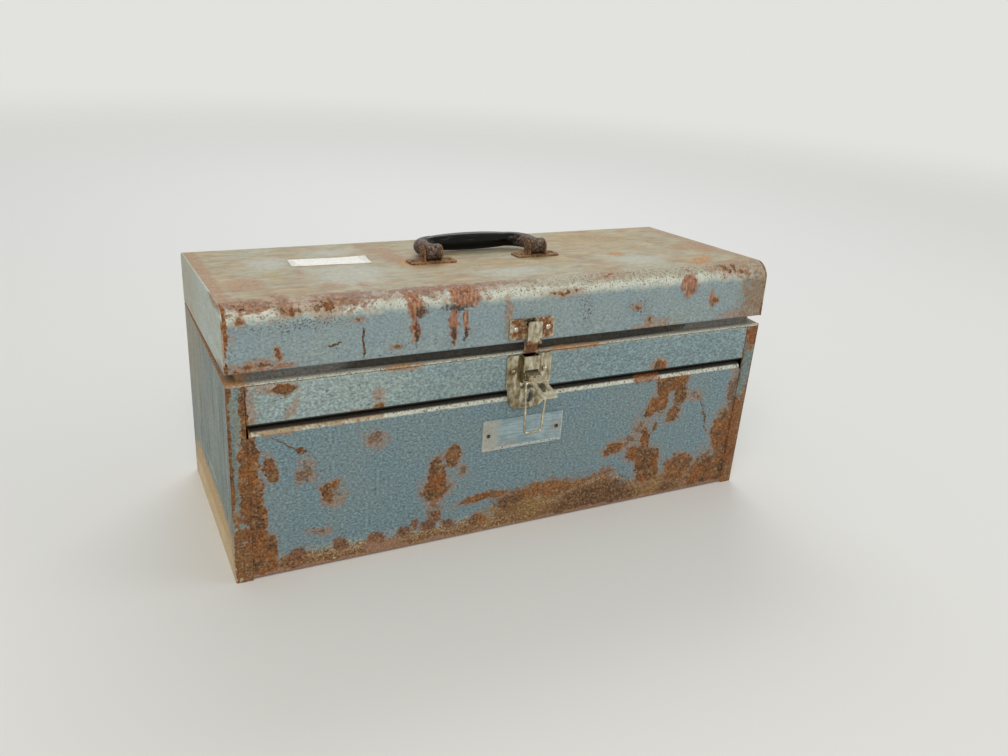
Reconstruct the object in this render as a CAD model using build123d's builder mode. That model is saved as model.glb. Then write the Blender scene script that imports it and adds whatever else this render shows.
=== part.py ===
from math import atan2, cos, degrees, radians, sin
import os

from build123d import *

# Steel hand tool box: wedge-shaped hinged lid, shallow slide-out drawer carrying the draw latch,
# deep bin under it, folding top handle. Millimetres, +Z up, front toward -Y, origin on the floor
# at the centre of the base.

# Overall sizes
length = 508.0
depth = 203.0
sheet = 1.2
thin_sheet = 1.0
shoulder_top = 175.2

# Body
post_width = 13.6
bend = 2.0
floor_gap = 1.4
pan_wall = 10.0
upper_bay = 39.2
lip_radius = 6.0
lip_depth = 10.0
lip_hem = 4.0
lip_end_gap = 2.0
ledge = 9.0
neck_height = 14.8

# Drawer
drawer_gap = 3.6
face_gap = 0.4
face_side_gap = 0.5
face_radius = 3.0
face_flange = 9.0
bar_clear = 1.0
tray_back_gap = 14.8
tray_clear = 4.0
tray_rim = 3.0
drawer_travel = 150.0
bar_height = 6.0
bar_width = 8.4
rail_run = 0.3
rail_height = 8.5
guide_height = 6.0
rail_reach = 0.6
stop_height = 5.0
stop_depth = 4.0
stop_clear = 0.5

# Lid, in its closed position; the parts that ride on it are then swung ajar
lid_ajar = 2.3
lid_gap = 0.6
lid_front_height = 52.1
lid_back_height = 46.0
lid_radius = 15.0
lid_back_radius = 6.0
hem = 4.0
cap_flange = 8.0
cap_edge = 0.7
rest_reach = 12.0
rest_width = 30.0
rest_height = 12.0
rest_clear = 0.3
rest_setback = 20.0

# Hinge
hinge_inset = 5.4
knuckles = 19
knuckle_gap = 0.4
pin_radius = 1.2
pin_clear = 0.05
knuckle_radius = 2.3
knuckle_clear = 0.3
leaf = 1.0
leaf_height = 15.0
hinge_rivets = 7

# Draw latch
base_width = 43.0
base_height = 50.0
base_drop = 2.2
base_plate = 1.2
base_straight = 26.0
base_taper = 4.0
channel_width = 15.5
channel_out = 6.2
channel_height = 25.0
bridge_height = 12.5
lever_out = 6.6
lever_drop = 17.4
ear_radius = 3.0
lever_pin = 1.2
running_clear = 0.06
lever_sheet = 1.0
lever_gap = 0.3
lever_face = 2.2
lever_back = 2.0
lever_length = 36.0
lever_rim = 1.3
lever_tip_width = 15.4
lever_open = 76.0
window_start = 14.0
window_length = 14.0
window_width = 7.4
bail_along = 10.5
bail_off = 0.5
bail_wire = 1.1
bail_top_half = 10.6
bail_bottom_half = 8.0
bail_length = 47.5
latch_rivet_half = 15.2
latch_rivet_drop = 15.2
slot_width = 6.5
slot_height = 7.0
slot_foot = 5.0

# Keeper, as wide as the latch base
keeper_height = 18.4
keeper_rise = 3.1
hook_half = 6.8
hook_out = 7.4
hook_height = 20.7
hook_drop = 0.7
seat_depth = 4.6
tongue_drop = 9.8
tongue_clear = 0.3
tongue_set = 0.2
notch_clear = 1.0
keeper_rivet_half = 15.4

# Name plate
plate_length = 79.5
plate_height = 30.0
plate_drop = 37.5
plate_sheet = 0.8
plate_rivet_half = 34.0

# Handle
handle_pitch = 105.5
pivot_setback = 97.9
pivot_height = 9.2
reach = 36.0
boss_radius = 7.0
boss_half = 7.2
leg_radius = 6.8
grip_radius = 8.3
splay = 3.0
bow = 2.0
corner = 18.0
ear_gap = 0.3
ear_sheet = 1.5
ear_width = 12.0

bracket_length = 44.0
bracket_depth = 19.0
handle_pin = 2.5
handle_rivet_half = 16.5

# Rivets
rivet_head = 2.7
rivet_rise = 1.7
rivet_shank = 1.5
small_head = 1.9
small_rise = 0.9
small_shank = 1.0

# Derived positions
front = -depth / 2
back = depth / 2
half = length / 2
inner_half = half - sheet
opening_half = half - post_width
frame_bottom = shoulder_top - sheet
neck_top = shoulder_top + neck_height
lip_top = shoulder_top - upper_bay
lid_bottom = shoulder_top + lid_gap
lid_front_top = lid_bottom + lid_front_height
lid_back_top = lid_bottom + lid_back_height
face_bottom = lip_top + drawer_gap
face_top = frame_bottom - face_gap
panel_face = front + sheet
tray_half = opening_half - bar_width - bar_clear
tray_length = 2 * tray_half
tray_depth = depth - sheet - tray_back_gap
hinge_length = 2 * (opening_half - hinge_inset)
tray_bottom = face_bottom + sheet
tray_top = frame_bottom - tray_clear
bar_bottom = tray_bottom + 9.0
rail_top = bar_bottom - rail_run
guide_bottom = bar_bottom + bar_height + rail_run
lid_slope = (lid_front_top - lid_back_top) / depth
lid_tilt = atan2(lid_front_top - lid_back_top, depth)
hinge_y = back + knuckle_radius + knuckle_clear
hinge_z = (shoulder_top + lid_bottom) / 2
hinge_axis = Axis((0, hinge_y, hinge_z), (1, 0, 0))
wall_half = channel_width / 2
wall_inner = wall_half - base_plate
tongue_half = wall_inner - tongue_clear
base_top = shoulder_top - base_drop
base_bottom = base_top - base_height
lever_up = base_top - lever_drop
latch_rivet_z = base_top - latch_rivet_drop
keeper_bottom = lid_bottom + keeper_rise
keeper_top = keeper_bottom + keeper_height
keeper_z = (keeper_bottom + keeper_top) / 2
hook_bottom = lid_bottom - hook_drop
hook_top = hook_bottom + hook_height
hook_seat = hook_top - seat_depth
tongue_bottom = lid_bottom - tongue_drop
plate_centre = lip_top - plate_drop
front_plane = Plane.XZ.offset(depth / 2)
back_plane = Plane.XZ.offset(-depth / 2)
pivot_y = front + pivot_setback
lid_surface = lid_front_top - lid_slope * pivot_setback
top_plane = Plane(
    origin=(0, pivot_y, lid_surface),
    x_dir=(1, 0, 0),
    z_dir=(0, sin(lid_tilt), cos(lid_tilt)),
)

os.makedirs("parts", exist_ok=True)


def save(builder, name, rides_on_lid=False):
    """Export a part; one that rides on the lid is swung from closed to ajar about the hinge first."""
    solid = builder.part.rotate(hinge_axis, -lid_ajar) if rides_on_lid else builder.part
    solid.label = name
    export_step(solid, f"parts/{name}.step")


def cut_notch():
    """Open the drawer's upper edge where the keeper tongue stands when the lid is closed."""
    with Locations((0, front, tongue_bottom - notch_clear)):
        Box(
            2 * wall_inner,
            3 * face_flange,
            face_top - tongue_bottom + 2 * notch_clear,
            align=(Align.CENTER, Align.CENTER, Align.MIN),
            mode=Mode.SUBTRACT,
        )


def strip(points, radii, thickness, side):
    """Closed outline of a bent sheet: one face follows the points, the other lies on the given side."""
    with BuildSketch() as outline:
        with BuildLine() as path:
            Polyline(*points)
            for point, radius in zip(points[1:-1], radii):
                fillet(path.vertices().sort_by_distance(Vector(*point))[0], radius)
            offset(amount=thickness, side=side)
        make_face()
    return outline.sketch


def rivet(head, rise, shank, grip, tail):
    """Domed rivet standing on the plane z = 0, with its shank and formed tail below."""
    with BuildPart() as body:
        with BuildSketch(Plane.XZ):
            Polygon(
                (0, rise),
                (head * 0.55, rise * 0.86),
                (head * 0.87, rise * 0.5),
                (head, 0),
                (shank, 0),
                (shank, -grip),
                (shank * 1.4, -grip),
                (shank * 1.2, -grip - tail),
                (0, -grip - tail),
                align=None,
            )
        revolve(axis=Axis.Z)
    return body.part


def on_plane(plane, spots):
    """Locations of spots given in a plane's own coordinates."""
    return [plane.location * Location(spot) for spot in spots]


def pair(plane, offset_x, height, lift=0.0):
    """Two locations on a plane, mirrored about its own Y axis."""
    return on_plane(plane, [(-offset_x, height, lift), (offset_x, height, lift)])


def row(plane, height):
    """Locations of the hinge's rivets along a plane at one height."""
    spots = [hinge_length * ((i + 0.5) / hinge_rivets - 0.5) for i in range(hinge_rivets)]
    return on_plane(plane, [(x, height, 0) for x in spots])


# End panels: side sheet with a front flange that forms the post and a matching back flange
for side, name in ((-1, "end_panel_left"), (1, "end_panel_right")):
    with BuildPart() as end_panel:
        with BuildSketch():
            add(
                strip(
                    [
                        (side * opening_half, front),
                        (side * half, front),
                        (side * half, back),
                        (side * opening_half, back),
                    ],
                    [bend, bend],
                    sheet,
                    Side.RIGHT if side < 0 else Side.LEFT,
                )
            )
        extrude(amount=frame_bottom)
    save(end_panel, name)

# Bottom pan with its low turned-up wall
with BuildPart() as bottom_pan:
    with Locations((0, panel_face + sheet, 0)):
        Box(
            2 * inner_half,
            back - panel_face - 2 * sheet,
            pan_wall,
            align=(Align.CENTER, Align.MIN, Align.MIN),
        )
    fillet(bottom_pan.edges().filter_by(Axis.X).group_by(Axis.Z)[0], bend)
    fillet(bottom_pan.edges().filter_by(Axis.Z), bend)
    offset(amount=-sheet, openings=bottom_pan.faces().sort_by(Axis.Z)[-1])
save(bottom_pan, "bottom_pan")

# Front panel: sheet behind the posts, its top edge curled back into a hemmed lip between them
with BuildPart() as front_panel:
    with BuildSketch(Plane.YZ.offset(-inner_half + 1.8)):
        with Locations((panel_face + sheet / 2, (floor_gap + lip_top - lip_radius - 1.0) / 2)):
            Rectangle(sheet, lip_top - lip_radius - 1.0 - floor_gap)
    extrude(amount=2 * (inner_half - 1.8))
    with BuildSketch(Plane.YZ.offset(-opening_half + lip_end_gap)):
        add(
            strip(
                [
                    (panel_face, lip_top - lip_radius - 1.0),
                    (panel_face, lip_top),
                    (panel_face + lip_depth, lip_top),
                    (panel_face + lip_depth, lip_top - lip_hem),
                ],
                [lip_radius, 1.6],
                sheet,
                Side.RIGHT,
            )
        )
    extrude(amount=2 * (opening_half - lip_end_gap))
    with Locations(*pair(front_plane, plate_rivet_half, plate_centre, -sheet)):
        Cylinder(small_shank, 4 * sheet, mode=Mode.SUBTRACT)
save(front_panel, "front_panel")

# Back panel with its side edges turned in
body_leaf_z = hinge_z - leaf_height * 0.62
lid_leaf_z = hinge_z + leaf_height * 0.72
with BuildPart() as back_panel:
    with BuildSketch(Plane.XY.offset(floor_gap)):
        add(
            strip(
                [
                    (-opening_half, back - lip_depth),
                    (-opening_half, back),
                    (opening_half, back),
                    (opening_half, back - lip_depth),
                ],
                [bend, bend],
                sheet,
                Side.RIGHT,
            )
        )
    extrude(amount=frame_bottom - floor_gap)
    with BuildSketch(Plane.XY):
        with Locations((0, back - lip_depth / 2)):
            Rectangle(length, lip_depth - 2 * sheet)
    extrude(amount=pan_wall + floor_gap, mode=Mode.SUBTRACT)
    with Locations(*row(back_plane, body_leaf_z)):
        Cylinder(small_shank, 4 * sheet, mode=Mode.SUBTRACT)
save(back_panel, "back_panel")

# Top frame: flat shoulder on the body's upper edge and the neck that the lid closes round
with BuildPart() as top_frame:
    with BuildSketch(Plane.XY.offset(frame_bottom)):
        RectangleRounded(length, depth, bend)
        Rectangle(length - 2 * (ledge + sheet), depth - 2 * (ledge + sheet), mode=Mode.SUBTRACT)
    extrude(amount=sheet)
    with BuildSketch(Plane.XY.offset(shoulder_top)):
        Rectangle(length - 2 * ledge, depth - 2 * ledge)
        Rectangle(length - 2 * (ledge + sheet), depth - 2 * (ledge + sheet), mode=Mode.SUBTRACT)
    extrude(amount=neck_top - shoulder_top)
save(top_frame, "top_frame")

# Box-section rails and guides on the end panels, with the stops near the front
rail_inner = tray_half + rail_reach
rail_depth = depth - 2 * lip_depth - 4.0
for side, name in ((-1, "left"), (1, "right")):
    for part_name, low, high in (
        ("rail", rail_top - rail_height, rail_top),
        ("guide", guide_bottom, guide_bottom + guide_height),
    ):
        with BuildPart() as rail:
            with BuildSketch(Plane.XZ.offset(rail_depth / 2)):
                with Locations((side * (inner_half + rail_inner) / 2, (low + high) / 2)):
                    Rectangle(inner_half - rail_inner, high - low)
                    Rectangle(
                        inner_half - rail_inner - 2 * thin_sheet,
                        high - low - 2 * thin_sheet,
                        mode=Mode.SUBTRACT,
                    )
            extrude(amount=-rail_depth)
        save(rail, f"{part_name}_{name}")

stop_x = (rail_inner + opening_half) / 2
stop_y = front + tray_depth - stop_depth - drawer_travel - stop_clear
with BuildPart() as rail_stops:
    for side in (-1, 1):
        with Locations((side * stop_x, stop_y - stop_depth / 2, guide_bottom + guide_height)):
            Box(
                opening_half - rail_inner - bar_clear,
                stop_depth,
                stop_height,
                align=(Align.CENTER, Align.CENTER, Align.MIN),
            )
save(rail_stops, "rail_stops")

# Drawer front: formed sheet with a rounded top edge and folded flanges
face_half = opening_half - face_side_gap
with BuildPart() as drawer_front:
    with BuildSketch(Plane.YZ.offset(-face_half)):
        add(
            strip(
                [
                    (front + face_flange, face_bottom),
                    (front, face_bottom),
                    (front, face_top),
                    (front + face_flange, face_top),
                ],
                [bend, face_radius],
                sheet,
                Side.RIGHT,
            )
        )
    extrude(amount=2 * face_half)
    with Locations(*pair(front_plane, latch_rivet_half, latch_rivet_z)):
        Cylinder(rivet_shank, 4 * sheet, mode=Mode.SUBTRACT)
    cut_notch()
save(drawer_front, "drawer_front")

# Drawer tray: open pan with an inward rim
tray_front = front + sheet
with BuildPart() as drawer_tray:
    with Locations((0, tray_front, tray_bottom)):
        Box(tray_length, tray_depth, tray_top - tray_bottom, align=(Align.CENTER, Align.MIN, Align.MIN))
    fillet(drawer_tray.edges().group_by(Axis.Z)[0], bend)
    offset(amount=-thin_sheet, openings=drawer_tray.faces().sort_by(Axis.Z)[-1])
    with BuildSketch(Plane.XY.offset(tray_top - thin_sheet)):
        with Locations((0, tray_front + tray_depth / 2)):
            Rectangle(tray_length, tray_depth)
            Rectangle(
                tray_length - 2 * (thin_sheet + tray_rim),
                tray_depth - 2 * (thin_sheet + tray_rim),
                mode=Mode.SUBTRACT,
            )
    extrude(amount=thin_sheet)
    with Locations(*pair(front_plane, latch_rivet_half, latch_rivet_z)):
        Cylinder(rivet_shank, 6 * sheet, mode=Mode.SUBTRACT)
    cut_notch()
save(drawer_tray, "drawer_tray")

# Slide bars on the tray's sides and the stop tabs at its rear
for side, name in ((-1, "slide_bar_left"), (1, "slide_bar_right")):
    with BuildPart() as slide_bar:
        with Locations((side * tray_half, tray_front + face_flange, bar_bottom)):
            Box(
                bar_width,
                tray_depth - face_flange,
                bar_height,
                align=(Align.MAX if side < 0 else Align.MIN, Align.MIN, Align.MIN),
            )
        chamfer(slide_bar.edges().filter_by(Axis.Z), 1.5)
    save(slide_bar, name)

tab_low = guide_bottom + guide_height + stop_clear
with BuildPart() as stop_tabs:
    for side in (-1, 1):
        with Locations((side * tray_half, tray_front + tray_depth - sheet, tab_low)):
            Box(
                bar_width,
                stop_depth,
                stop_height - 1.0,
                align=(Align.MAX if side < 0 else Align.MIN, Align.MAX, Align.MIN),
            )
save(stop_tabs, "stop_tabs")

# Lid shell: sheet wrapped over front, top and back, both lower edges hemmed inward
lid_outline = [
    (front + sheet + hem, lid_bottom),
    (front, lid_bottom),
    (front, lid_front_top),
    (back, lid_back_top),
    (back, lid_bottom),
    (back - sheet - hem, lid_bottom),
]
handle_spots = [
    (s * handle_pitch / 2 + t * handle_rivet_half, 0, 0) for s in (-1, 1) for t in (-1, 1)
]
with BuildPart() as lid_shell:
    with BuildSketch(Plane.YZ.offset(-inner_half)):
        add(strip(lid_outline, [1.6, lid_radius, lid_back_radius, 1.6], sheet, Side.RIGHT))
    extrude(amount=2 * inner_half)
    with Locations(*pair(front_plane, keeper_rivet_half, keeper_z)):
        Cylinder(rivet_shank, 4 * sheet, mode=Mode.SUBTRACT)
    with Locations(*row(back_plane, lid_leaf_z)):
        Cylinder(small_shank, 4 * sheet, mode=Mode.SUBTRACT)
    with Locations(*on_plane(top_plane, handle_spots)):
        Cylinder(rivet_shank, 4 * sheet, mode=Mode.SUBTRACT)
save(lid_shell, "lid_shell", rides_on_lid=True)


def lid_section():
    """Side view of the closed lid, with its two rounded upper corners."""
    with BuildSketch() as section:
        with BuildLine() as line:
            Polyline(*lid_outline[1:5], close=True)
            fillet(line.vertices().sort_by_distance(Vector(front, lid_front_top))[0], lid_radius)
            fillet(line.vertices().sort_by_distance(Vector(back, lid_back_top))[0], lid_back_radius)
        make_face()
    return section.sketch


# Lid end caps: plate with an inner flange under the shell and a hemmed lower edge
for side, name in ((-1, "lid_end_left"), (1, "lid_end_right")):
    with BuildPart() as lid_end:
        with BuildSketch(Plane.YZ.offset(side * inner_half)):
            add(lid_section())
        extrude(amount=side * sheet)
        outer = lid_end.faces().sort_by(Axis.X)[0 if side < 0 else -1]
        fillet(outer.edges(), cap_edge)
        with BuildSketch(Plane.YZ.offset(side * (inner_half - cap_flange))):
            add(lid_section())
            offset(amount=-sheet, mode=Mode.REPLACE)
            offset(amount=-sheet, mode=Mode.SUBTRACT)
            with Locations((0, lid_bottom)):
                Rectangle(2 * depth, 5 * sheet, mode=Mode.SUBTRACT)
        extrude(amount=side * cap_flange)
        with Locations((side * inner_half, 0, lid_bottom)):
            Box(
                hem,
                depth - 2 * (sheet + hem + face_gap),
                sheet,
                align=(Align.MIN if side < 0 else Align.MAX, Align.CENTER, Align.MIN),
            )
    save(lid_end, name, rides_on_lid=True)

# Lid rests: small angles on the end caps that land on the neck
with BuildPart() as lid_rests:
    for side in (-1, 1):
        with Locations((side * inner_half, front + rest_setback, neck_top + rest_clear)):
            Box(
                rest_reach,
                rest_width,
                sheet,
                align=(Align.MIN if side < 0 else Align.MAX, Align.MIN, Align.MIN),
            )
            Box(
                sheet,
                rest_width,
                rest_height,
                align=(Align.MIN if side < 0 else Align.MAX, Align.MIN, Align.MIN),
            )
save(lid_rests, "lid_rests", rides_on_lid=True)


def hinge_leaf(name, sign, parity, spots_z):
    """Piano-hinge leaf: flat strip on the back with every second knuckle rolled round the pin."""
    pitch = hinge_length / knuckles
    with BuildPart() as half_hinge:
        with BuildSketch(Plane.YZ.offset(-hinge_length / 2)):
            with Locations((back + leaf / 2, hinge_z + sign * (knuckle_radius + 0.6 + leaf_height) / 2)):
                Rectangle(leaf, leaf_height - knuckle_radius + 0.6)
        extrude(amount=hinge_length)
        for index in range(parity, knuckles, 2):
            start = -hinge_length / 2 + index * pitch + knuckle_gap / 2
            with BuildSketch(Plane.YZ.offset(start)):
                with Locations((hinge_y, hinge_z)):
                    Circle(knuckle_radius)
                with Locations((back + leaf / 2, hinge_z + sign * (knuckle_radius + 1.5) / 2)):
                    Rectangle(leaf, knuckle_radius + 1.5)
                with Locations((hinge_y, hinge_z)):
                    Circle(pin_radius + pin_clear, mode=Mode.SUBTRACT)
            extrude(amount=pitch - knuckle_gap)
        with Locations(*row(back_plane, spots_z)):
            Cylinder(small_shank, 6 * sheet, mode=Mode.SUBTRACT)
    save(half_hinge, name, rides_on_lid=sign > 0)


hinge_leaf("hinge_leaf_body", -1, 0, body_leaf_z)
hinge_leaf("hinge_leaf_lid", 1, 1, lid_leaf_z)

with BuildPart() as hinge_pin:
    with Locations(Location((0, hinge_y, hinge_z), (0, 90, 0))):
        Cylinder(pin_radius, hinge_length)
        with Locations((0, 0, -hinge_length / 2 - 0.4), (0, 0, hinge_length / 2 + 0.4)):
            Cylinder(pin_radius + 0.7, 0.8)
save(hinge_pin, "hinge_pin")

behind = Plane.XZ.rotated((0, 0, 180)).offset(depth / 2 + leaf)
for name, level in (("hinge_rivets_body", body_leaf_z), ("hinge_rivets_lid", lid_leaf_z)):
    with BuildPart() as hinge_rivet_row:
        with Locations(*row(behind, level)):
            add(rivet(small_head, small_rise, small_shank, sheet + leaf, small_rise))
    save(hinge_rivet_row, name, rides_on_lid=level > hinge_z)

# Latch base: shield-shaped plate, raised open channel with two ears for the lever pin
channel_bottom = base_top - channel_height
bridge_bottom = base_top - bridge_height
base_foot = base_bottom + base_taper
base_waist = base_top - base_straight
with BuildPart() as latch_base:
    with BuildSketch(front_plane):
        with BuildLine() as shield:
            Polyline(
                (-base_width / 2, base_top),
                (base_width / 2, base_top),
                (base_width / 2, base_waist),
                (base_width / 2 - 4.5, base_foot),
                (base_width / 2 - 9.5, base_bottom),
                (-base_width / 2 + 9.5, base_bottom),
                (-base_width / 2 + 4.5, base_foot),
                (-base_width / 2, base_waist),
                close=True,
            )
            fillet(shield.vertices(), 2.4)
        make_face()
        with Locations((0, (channel_bottom + base_top) / 2)):
            Rectangle(2 * wall_inner, base_top - channel_bottom + 0.01, mode=Mode.SUBTRACT)
        with Locations((0, base_bottom + slot_foot + slot_height / 2)):
            RectangleRounded(slot_width, slot_height, 0.8, mode=Mode.SUBTRACT)
        with Locations(*[(s * latch_rivet_half, latch_rivet_z) for s in (-1, 1)]):
            Circle(rivet_shank, mode=Mode.SUBTRACT)
    extrude(amount=base_plate)
    for side in (-1, 1):
        with BuildSketch(Plane.YZ.offset(side * wall_inner)):
            with BuildLine():
                Polyline(
                    (front, channel_bottom),
                    (front - channel_out + 2.0, channel_bottom),
                    (front - channel_out, channel_bottom + 2.0),
                    (front - channel_out, base_top),
                    (front, base_top),
                    close=True,
                )
            make_face()
            with Locations((front - lever_out, lever_up)):
                Circle(ear_radius)
                Circle(lever_pin, mode=Mode.SUBTRACT)
        extrude(amount=side * base_plate)
    with Locations((0, front - channel_out, (bridge_bottom + base_top) / 2)):
        Box(
            2 * wall_inner,
            base_plate,
            base_top - bridge_bottom,
            align=(Align.CENTER, Align.MIN, Align.CENTER),
        )
    bridge_edges = latch_base.edges().filter_by(Axis.Z).filter_by_position(
        Axis.Y, front - channel_out - 0.01, front - channel_out + 0.01
    )
    fillet([e for e in bridge_edges if e.center().Z > bridge_bottom], 1.0)
    with Locations((0, front - base_plate, base_bottom + 0.4)):
        Box(8.0, 2.0, base_plate, align=(Align.CENTER, Align.MAX, Align.MIN))
save(latch_base, "latch_base")


def flare(along):
    """Half width of the lever at a distance from its pin."""
    share = (along - flare_start) / (lever_length - flare_start)
    return lever_half + (tip_half - lever_half) * share


# Lever: face plate with a window and two cheeks, modelled closed and then swung open
lever_half = wall_inner - lever_gap
tip_half = lever_tip_width / 2
flare_start = bail_along - 1.0
rim_start = bail_along + 3.0
rim_end = lever_length - 2.0
lever_axis = Plane(origin=(0, front - lever_out, lever_up), x_dir=(1, 0, 0), z_dir=(0, -1, 0))
with BuildPart() as lever_closed:
    with BuildSketch(lever_axis.offset(lever_face)):
        with BuildLine() as tongue:
            Polyline(
                (-lever_half, lever_back),
                (lever_half, lever_back),
                (lever_half, -flare_start),
                (tip_half, -lever_length),
                (-tip_half, -lever_length),
                (-lever_half, -flare_start),
                close=True,
            )
            fillet(tongue.vertices().group_by(Axis.Y)[0], 2.0)
        make_face()
        with Locations((0, -window_start - window_length / 2)):
            RectangleRounded(window_width, window_length, 0.8, mode=Mode.SUBTRACT)
    extrude(amount=lever_sheet)
    for side in (-1, 1):
        with BuildSketch(lever_axis.offset(lever_face - lever_rim)):
            Polygon(
                (side * flare(rim_start), -rim_start),
                (side * flare(rim_end), -rim_end),
                (side * (flare(rim_end) - lever_sheet), -rim_end),
                (side * (flare(rim_start) - lever_sheet), -rim_start),
                align=None,
            )
        extrude(amount=lever_rim)
        with BuildSketch(Plane.YZ.offset(side * (lever_half - lever_sheet))):
            with Locations((front - lever_out, lever_up)):
                Circle(lever_pin + 1.3)
            with BuildLine():
                Polyline(
                    (front - lever_out - lever_face, lever_up + lever_back),
                    (front - lever_out + 0.4, lever_up + lever_back),
                    (front - lever_out + 1.6, lever_up - bail_along + 2.0),
                    (front - lever_out + 0.6, lever_up - bail_along - 2.2),
                    (front - lever_out - lever_face, lever_up - bail_along - 5.0),
                    close=True,
                )
            make_face()
            with Locations((front - lever_out, lever_up)):
                Circle(lever_pin + running_clear, mode=Mode.SUBTRACT)
            with Locations((front - lever_out - bail_off, lever_up - bail_along)):
                Circle(bail_wire + running_clear, mode=Mode.SUBTRACT)
        extrude(amount=side * lever_sheet)
lever_body = lever_closed.part.rotate(
    Axis((0, front - lever_out, lever_up), (1, 0, 0)), -lever_open
)
with BuildPart() as latch_lever:
    add(lever_body)
save(latch_lever, "latch_lever")

with BuildPart() as lever_pin_part:
    with Locations(Location((0, front - lever_out, lever_up), (0, 90, 0))):
        Cylinder(lever_pin, channel_width)
        with Locations((0, 0, -wall_half - 0.4), (0, 0, wall_half + 0.4)):
            Cylinder(lever_pin + 0.6, 0.8)
save(lever_pin_part, "lever_pin")

# Wire bail hanging plumb from the lever's second pair of holes
swing = radians(lever_open)
bail_y = front - lever_out - bail_along * sin(swing) - bail_off * cos(swing)
bail_z = lever_up - bail_along * cos(swing) + bail_off * sin(swing)
bail_bottom = bail_z - bail_length
with BuildPart() as bail:
    with BuildLine() as wire:
        Polyline(
            (-lever_half + 1.6, bail_y, bail_z),
            (-bail_top_half, bail_y, bail_z),
            (-bail_bottom_half, bail_y, bail_bottom),
            (bail_bottom_half, bail_y, bail_bottom),
            (bail_top_half, bail_y, bail_z),
            (lever_half - 1.6, bail_y, bail_z),
        )
        fillet(wire.vertices().filter_by_position(Axis.Z, bail_bottom - 1, bail_bottom + 1), 2.4)
        fillet(
            wire.vertices().filter_by_position(Axis.X, bail_top_half - 0.5, bail_top_half + 0.5)
            + wire.vertices().filter_by_position(Axis.X, -bail_top_half - 0.5, -bail_top_half + 0.5),
            2.0,
        )
    with BuildSketch(Plane(origin=wire.line @ 0, z_dir=wire.line % 0)):
        Circle(bail_wire)
    sweep()
save(bail, "bail")

# Latch rivets through base, drawer front and tray wall
with BuildPart() as latch_rivets:
    with Locations(*pair(front_plane, latch_rivet_half, latch_rivet_z, base_plate)):
        add(rivet(rivet_head, rivet_rise, rivet_shank, base_plate + sheet + thin_sheet, small_rise))
save(latch_rivets, "latch_rivets")

# Keeper: plate with a guide tongue below and a hook standing in front of it
with BuildPart() as keeper:
    with BuildSketch(front_plane):
        with Locations((0, keeper_z)):
            RectangleRounded(base_width, keeper_top - keeper_bottom, 2.2)
        with Locations(*[(s * keeper_rivet_half, keeper_z) for s in (-1, 1)]):
            Circle(rivet_shank, mode=Mode.SUBTRACT)
    extrude(amount=base_plate)
    with BuildSketch(front_plane.offset(tongue_set)):
        with Locations((0, (tongue_bottom + keeper_z) / 2)):
            Rectangle(2 * tongue_half, keeper_z - tongue_bottom)
    extrude(amount=base_plate)
    with BuildSketch(Plane.YZ.offset(-hook_half)):
        add(
            strip(
                [
                    (front - base_plate, hook_bottom),
                    (front - hook_out, hook_bottom),
                    (front - hook_out, hook_top),
                ],
                [1.8],
                base_plate,
                Side.RIGHT,
            )
        )
    extrude(amount=2 * hook_half)
    for side in (-1, 1):
        with Locations((side * hook_half, front - base_plate, hook_bottom)):
            Box(
                base_plate,
                hook_out - 2 * base_plate,
                hook_seat - hook_bottom,
                align=(Align.MIN if side < 0 else Align.MAX, Align.MAX, Align.MIN),
            )
    tips = [
        e
        for e in keeper.edges().filter_by(Axis.Y)
        if abs(e.center().Z - hook_top) < 0.1 and e.center().Y < front - base_plate - 0.5
    ]
    fillet(tips, 2.0)
save(keeper, "keeper", rides_on_lid=True)

with BuildPart() as keeper_rivets:
    with Locations(*pair(front_plane, keeper_rivet_half, keeper_z, base_plate)):
        add(rivet(rivet_head, rivet_rise, rivet_shank, base_plate + sheet, small_rise))
save(keeper_rivets, "keeper_rivets", rides_on_lid=True)

# Bare name plate and its two rivets
plate_plane = Plane.XZ.offset(-panel_face)
with BuildPart() as name_plate:
    with BuildSketch(plate_plane):
        with Locations((0, plate_centre)):
            RectangleRounded(plate_length, plate_height, 1.2)
        with Locations(*[(s * plate_rivet_half, plate_centre) for s in (-1, 1)]):
            Circle(small_shank, mode=Mode.SUBTRACT)
    extrude(amount=plate_sheet)
save(name_plate, "name_plate")

with BuildPart() as plate_rivets:
    with Locations(*pair(plate_plane, plate_rivet_half, plate_centre, plate_sheet)):
        add(rivet(small_head, small_rise, small_shank, plate_sheet + sheet, small_rise))
save(plate_rivets, "plate_rivets")

# Handle: bowed swollen grip between two bent legs, each ending in a boss bored for its pin
pivot_half = handle_pitch / 2
handle_plane = top_plane.offset(pivot_height)
with BuildLine() as handle_path:
    ThreePointArc(
        (-pivot_half - splay, reach),
        (0, reach + bow),
        (pivot_half + splay, reach),
    )
    for side in (-1, 1):
        Line((side * (pivot_half + splay), reach), (side * pivot_half, 0))
    fillet([v for v in handle_path.vertices() if v.Y > reach / 2], corner)
handle_edges = [handle_plane.location * edge for edge in handle_path.edges()]
grip_edge = max(handle_edges, key=lambda edge: edge.length)
with BuildPart() as handle:
    for share, radius in ((0, leg_radius), (0.5, grip_radius), (1, leg_radius)):
        with BuildSketch(Plane(origin=grip_edge @ share, z_dir=grip_edge % share)):
            Circle(radius)
    loft()
    for side in (-1, 1):
        leg = Wire([edge for edge in handle_edges if side * edge.center().X > leg_radius])
        with BuildSketch(Plane(origin=leg @ 0, z_dir=leg % 0)):
            Circle(leg_radius)
        sweep(path=leg)
        with Locations(handle_plane.location * Location((side * pivot_half, 0, 0), (0, 90, 0))):
            Cylinder(boss_radius, 2 * boss_half)
            Cylinder(handle_pin + running_clear, 4 * boss_half, mode=Mode.SUBTRACT)
save(handle, "handle", rides_on_lid=True)

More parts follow.
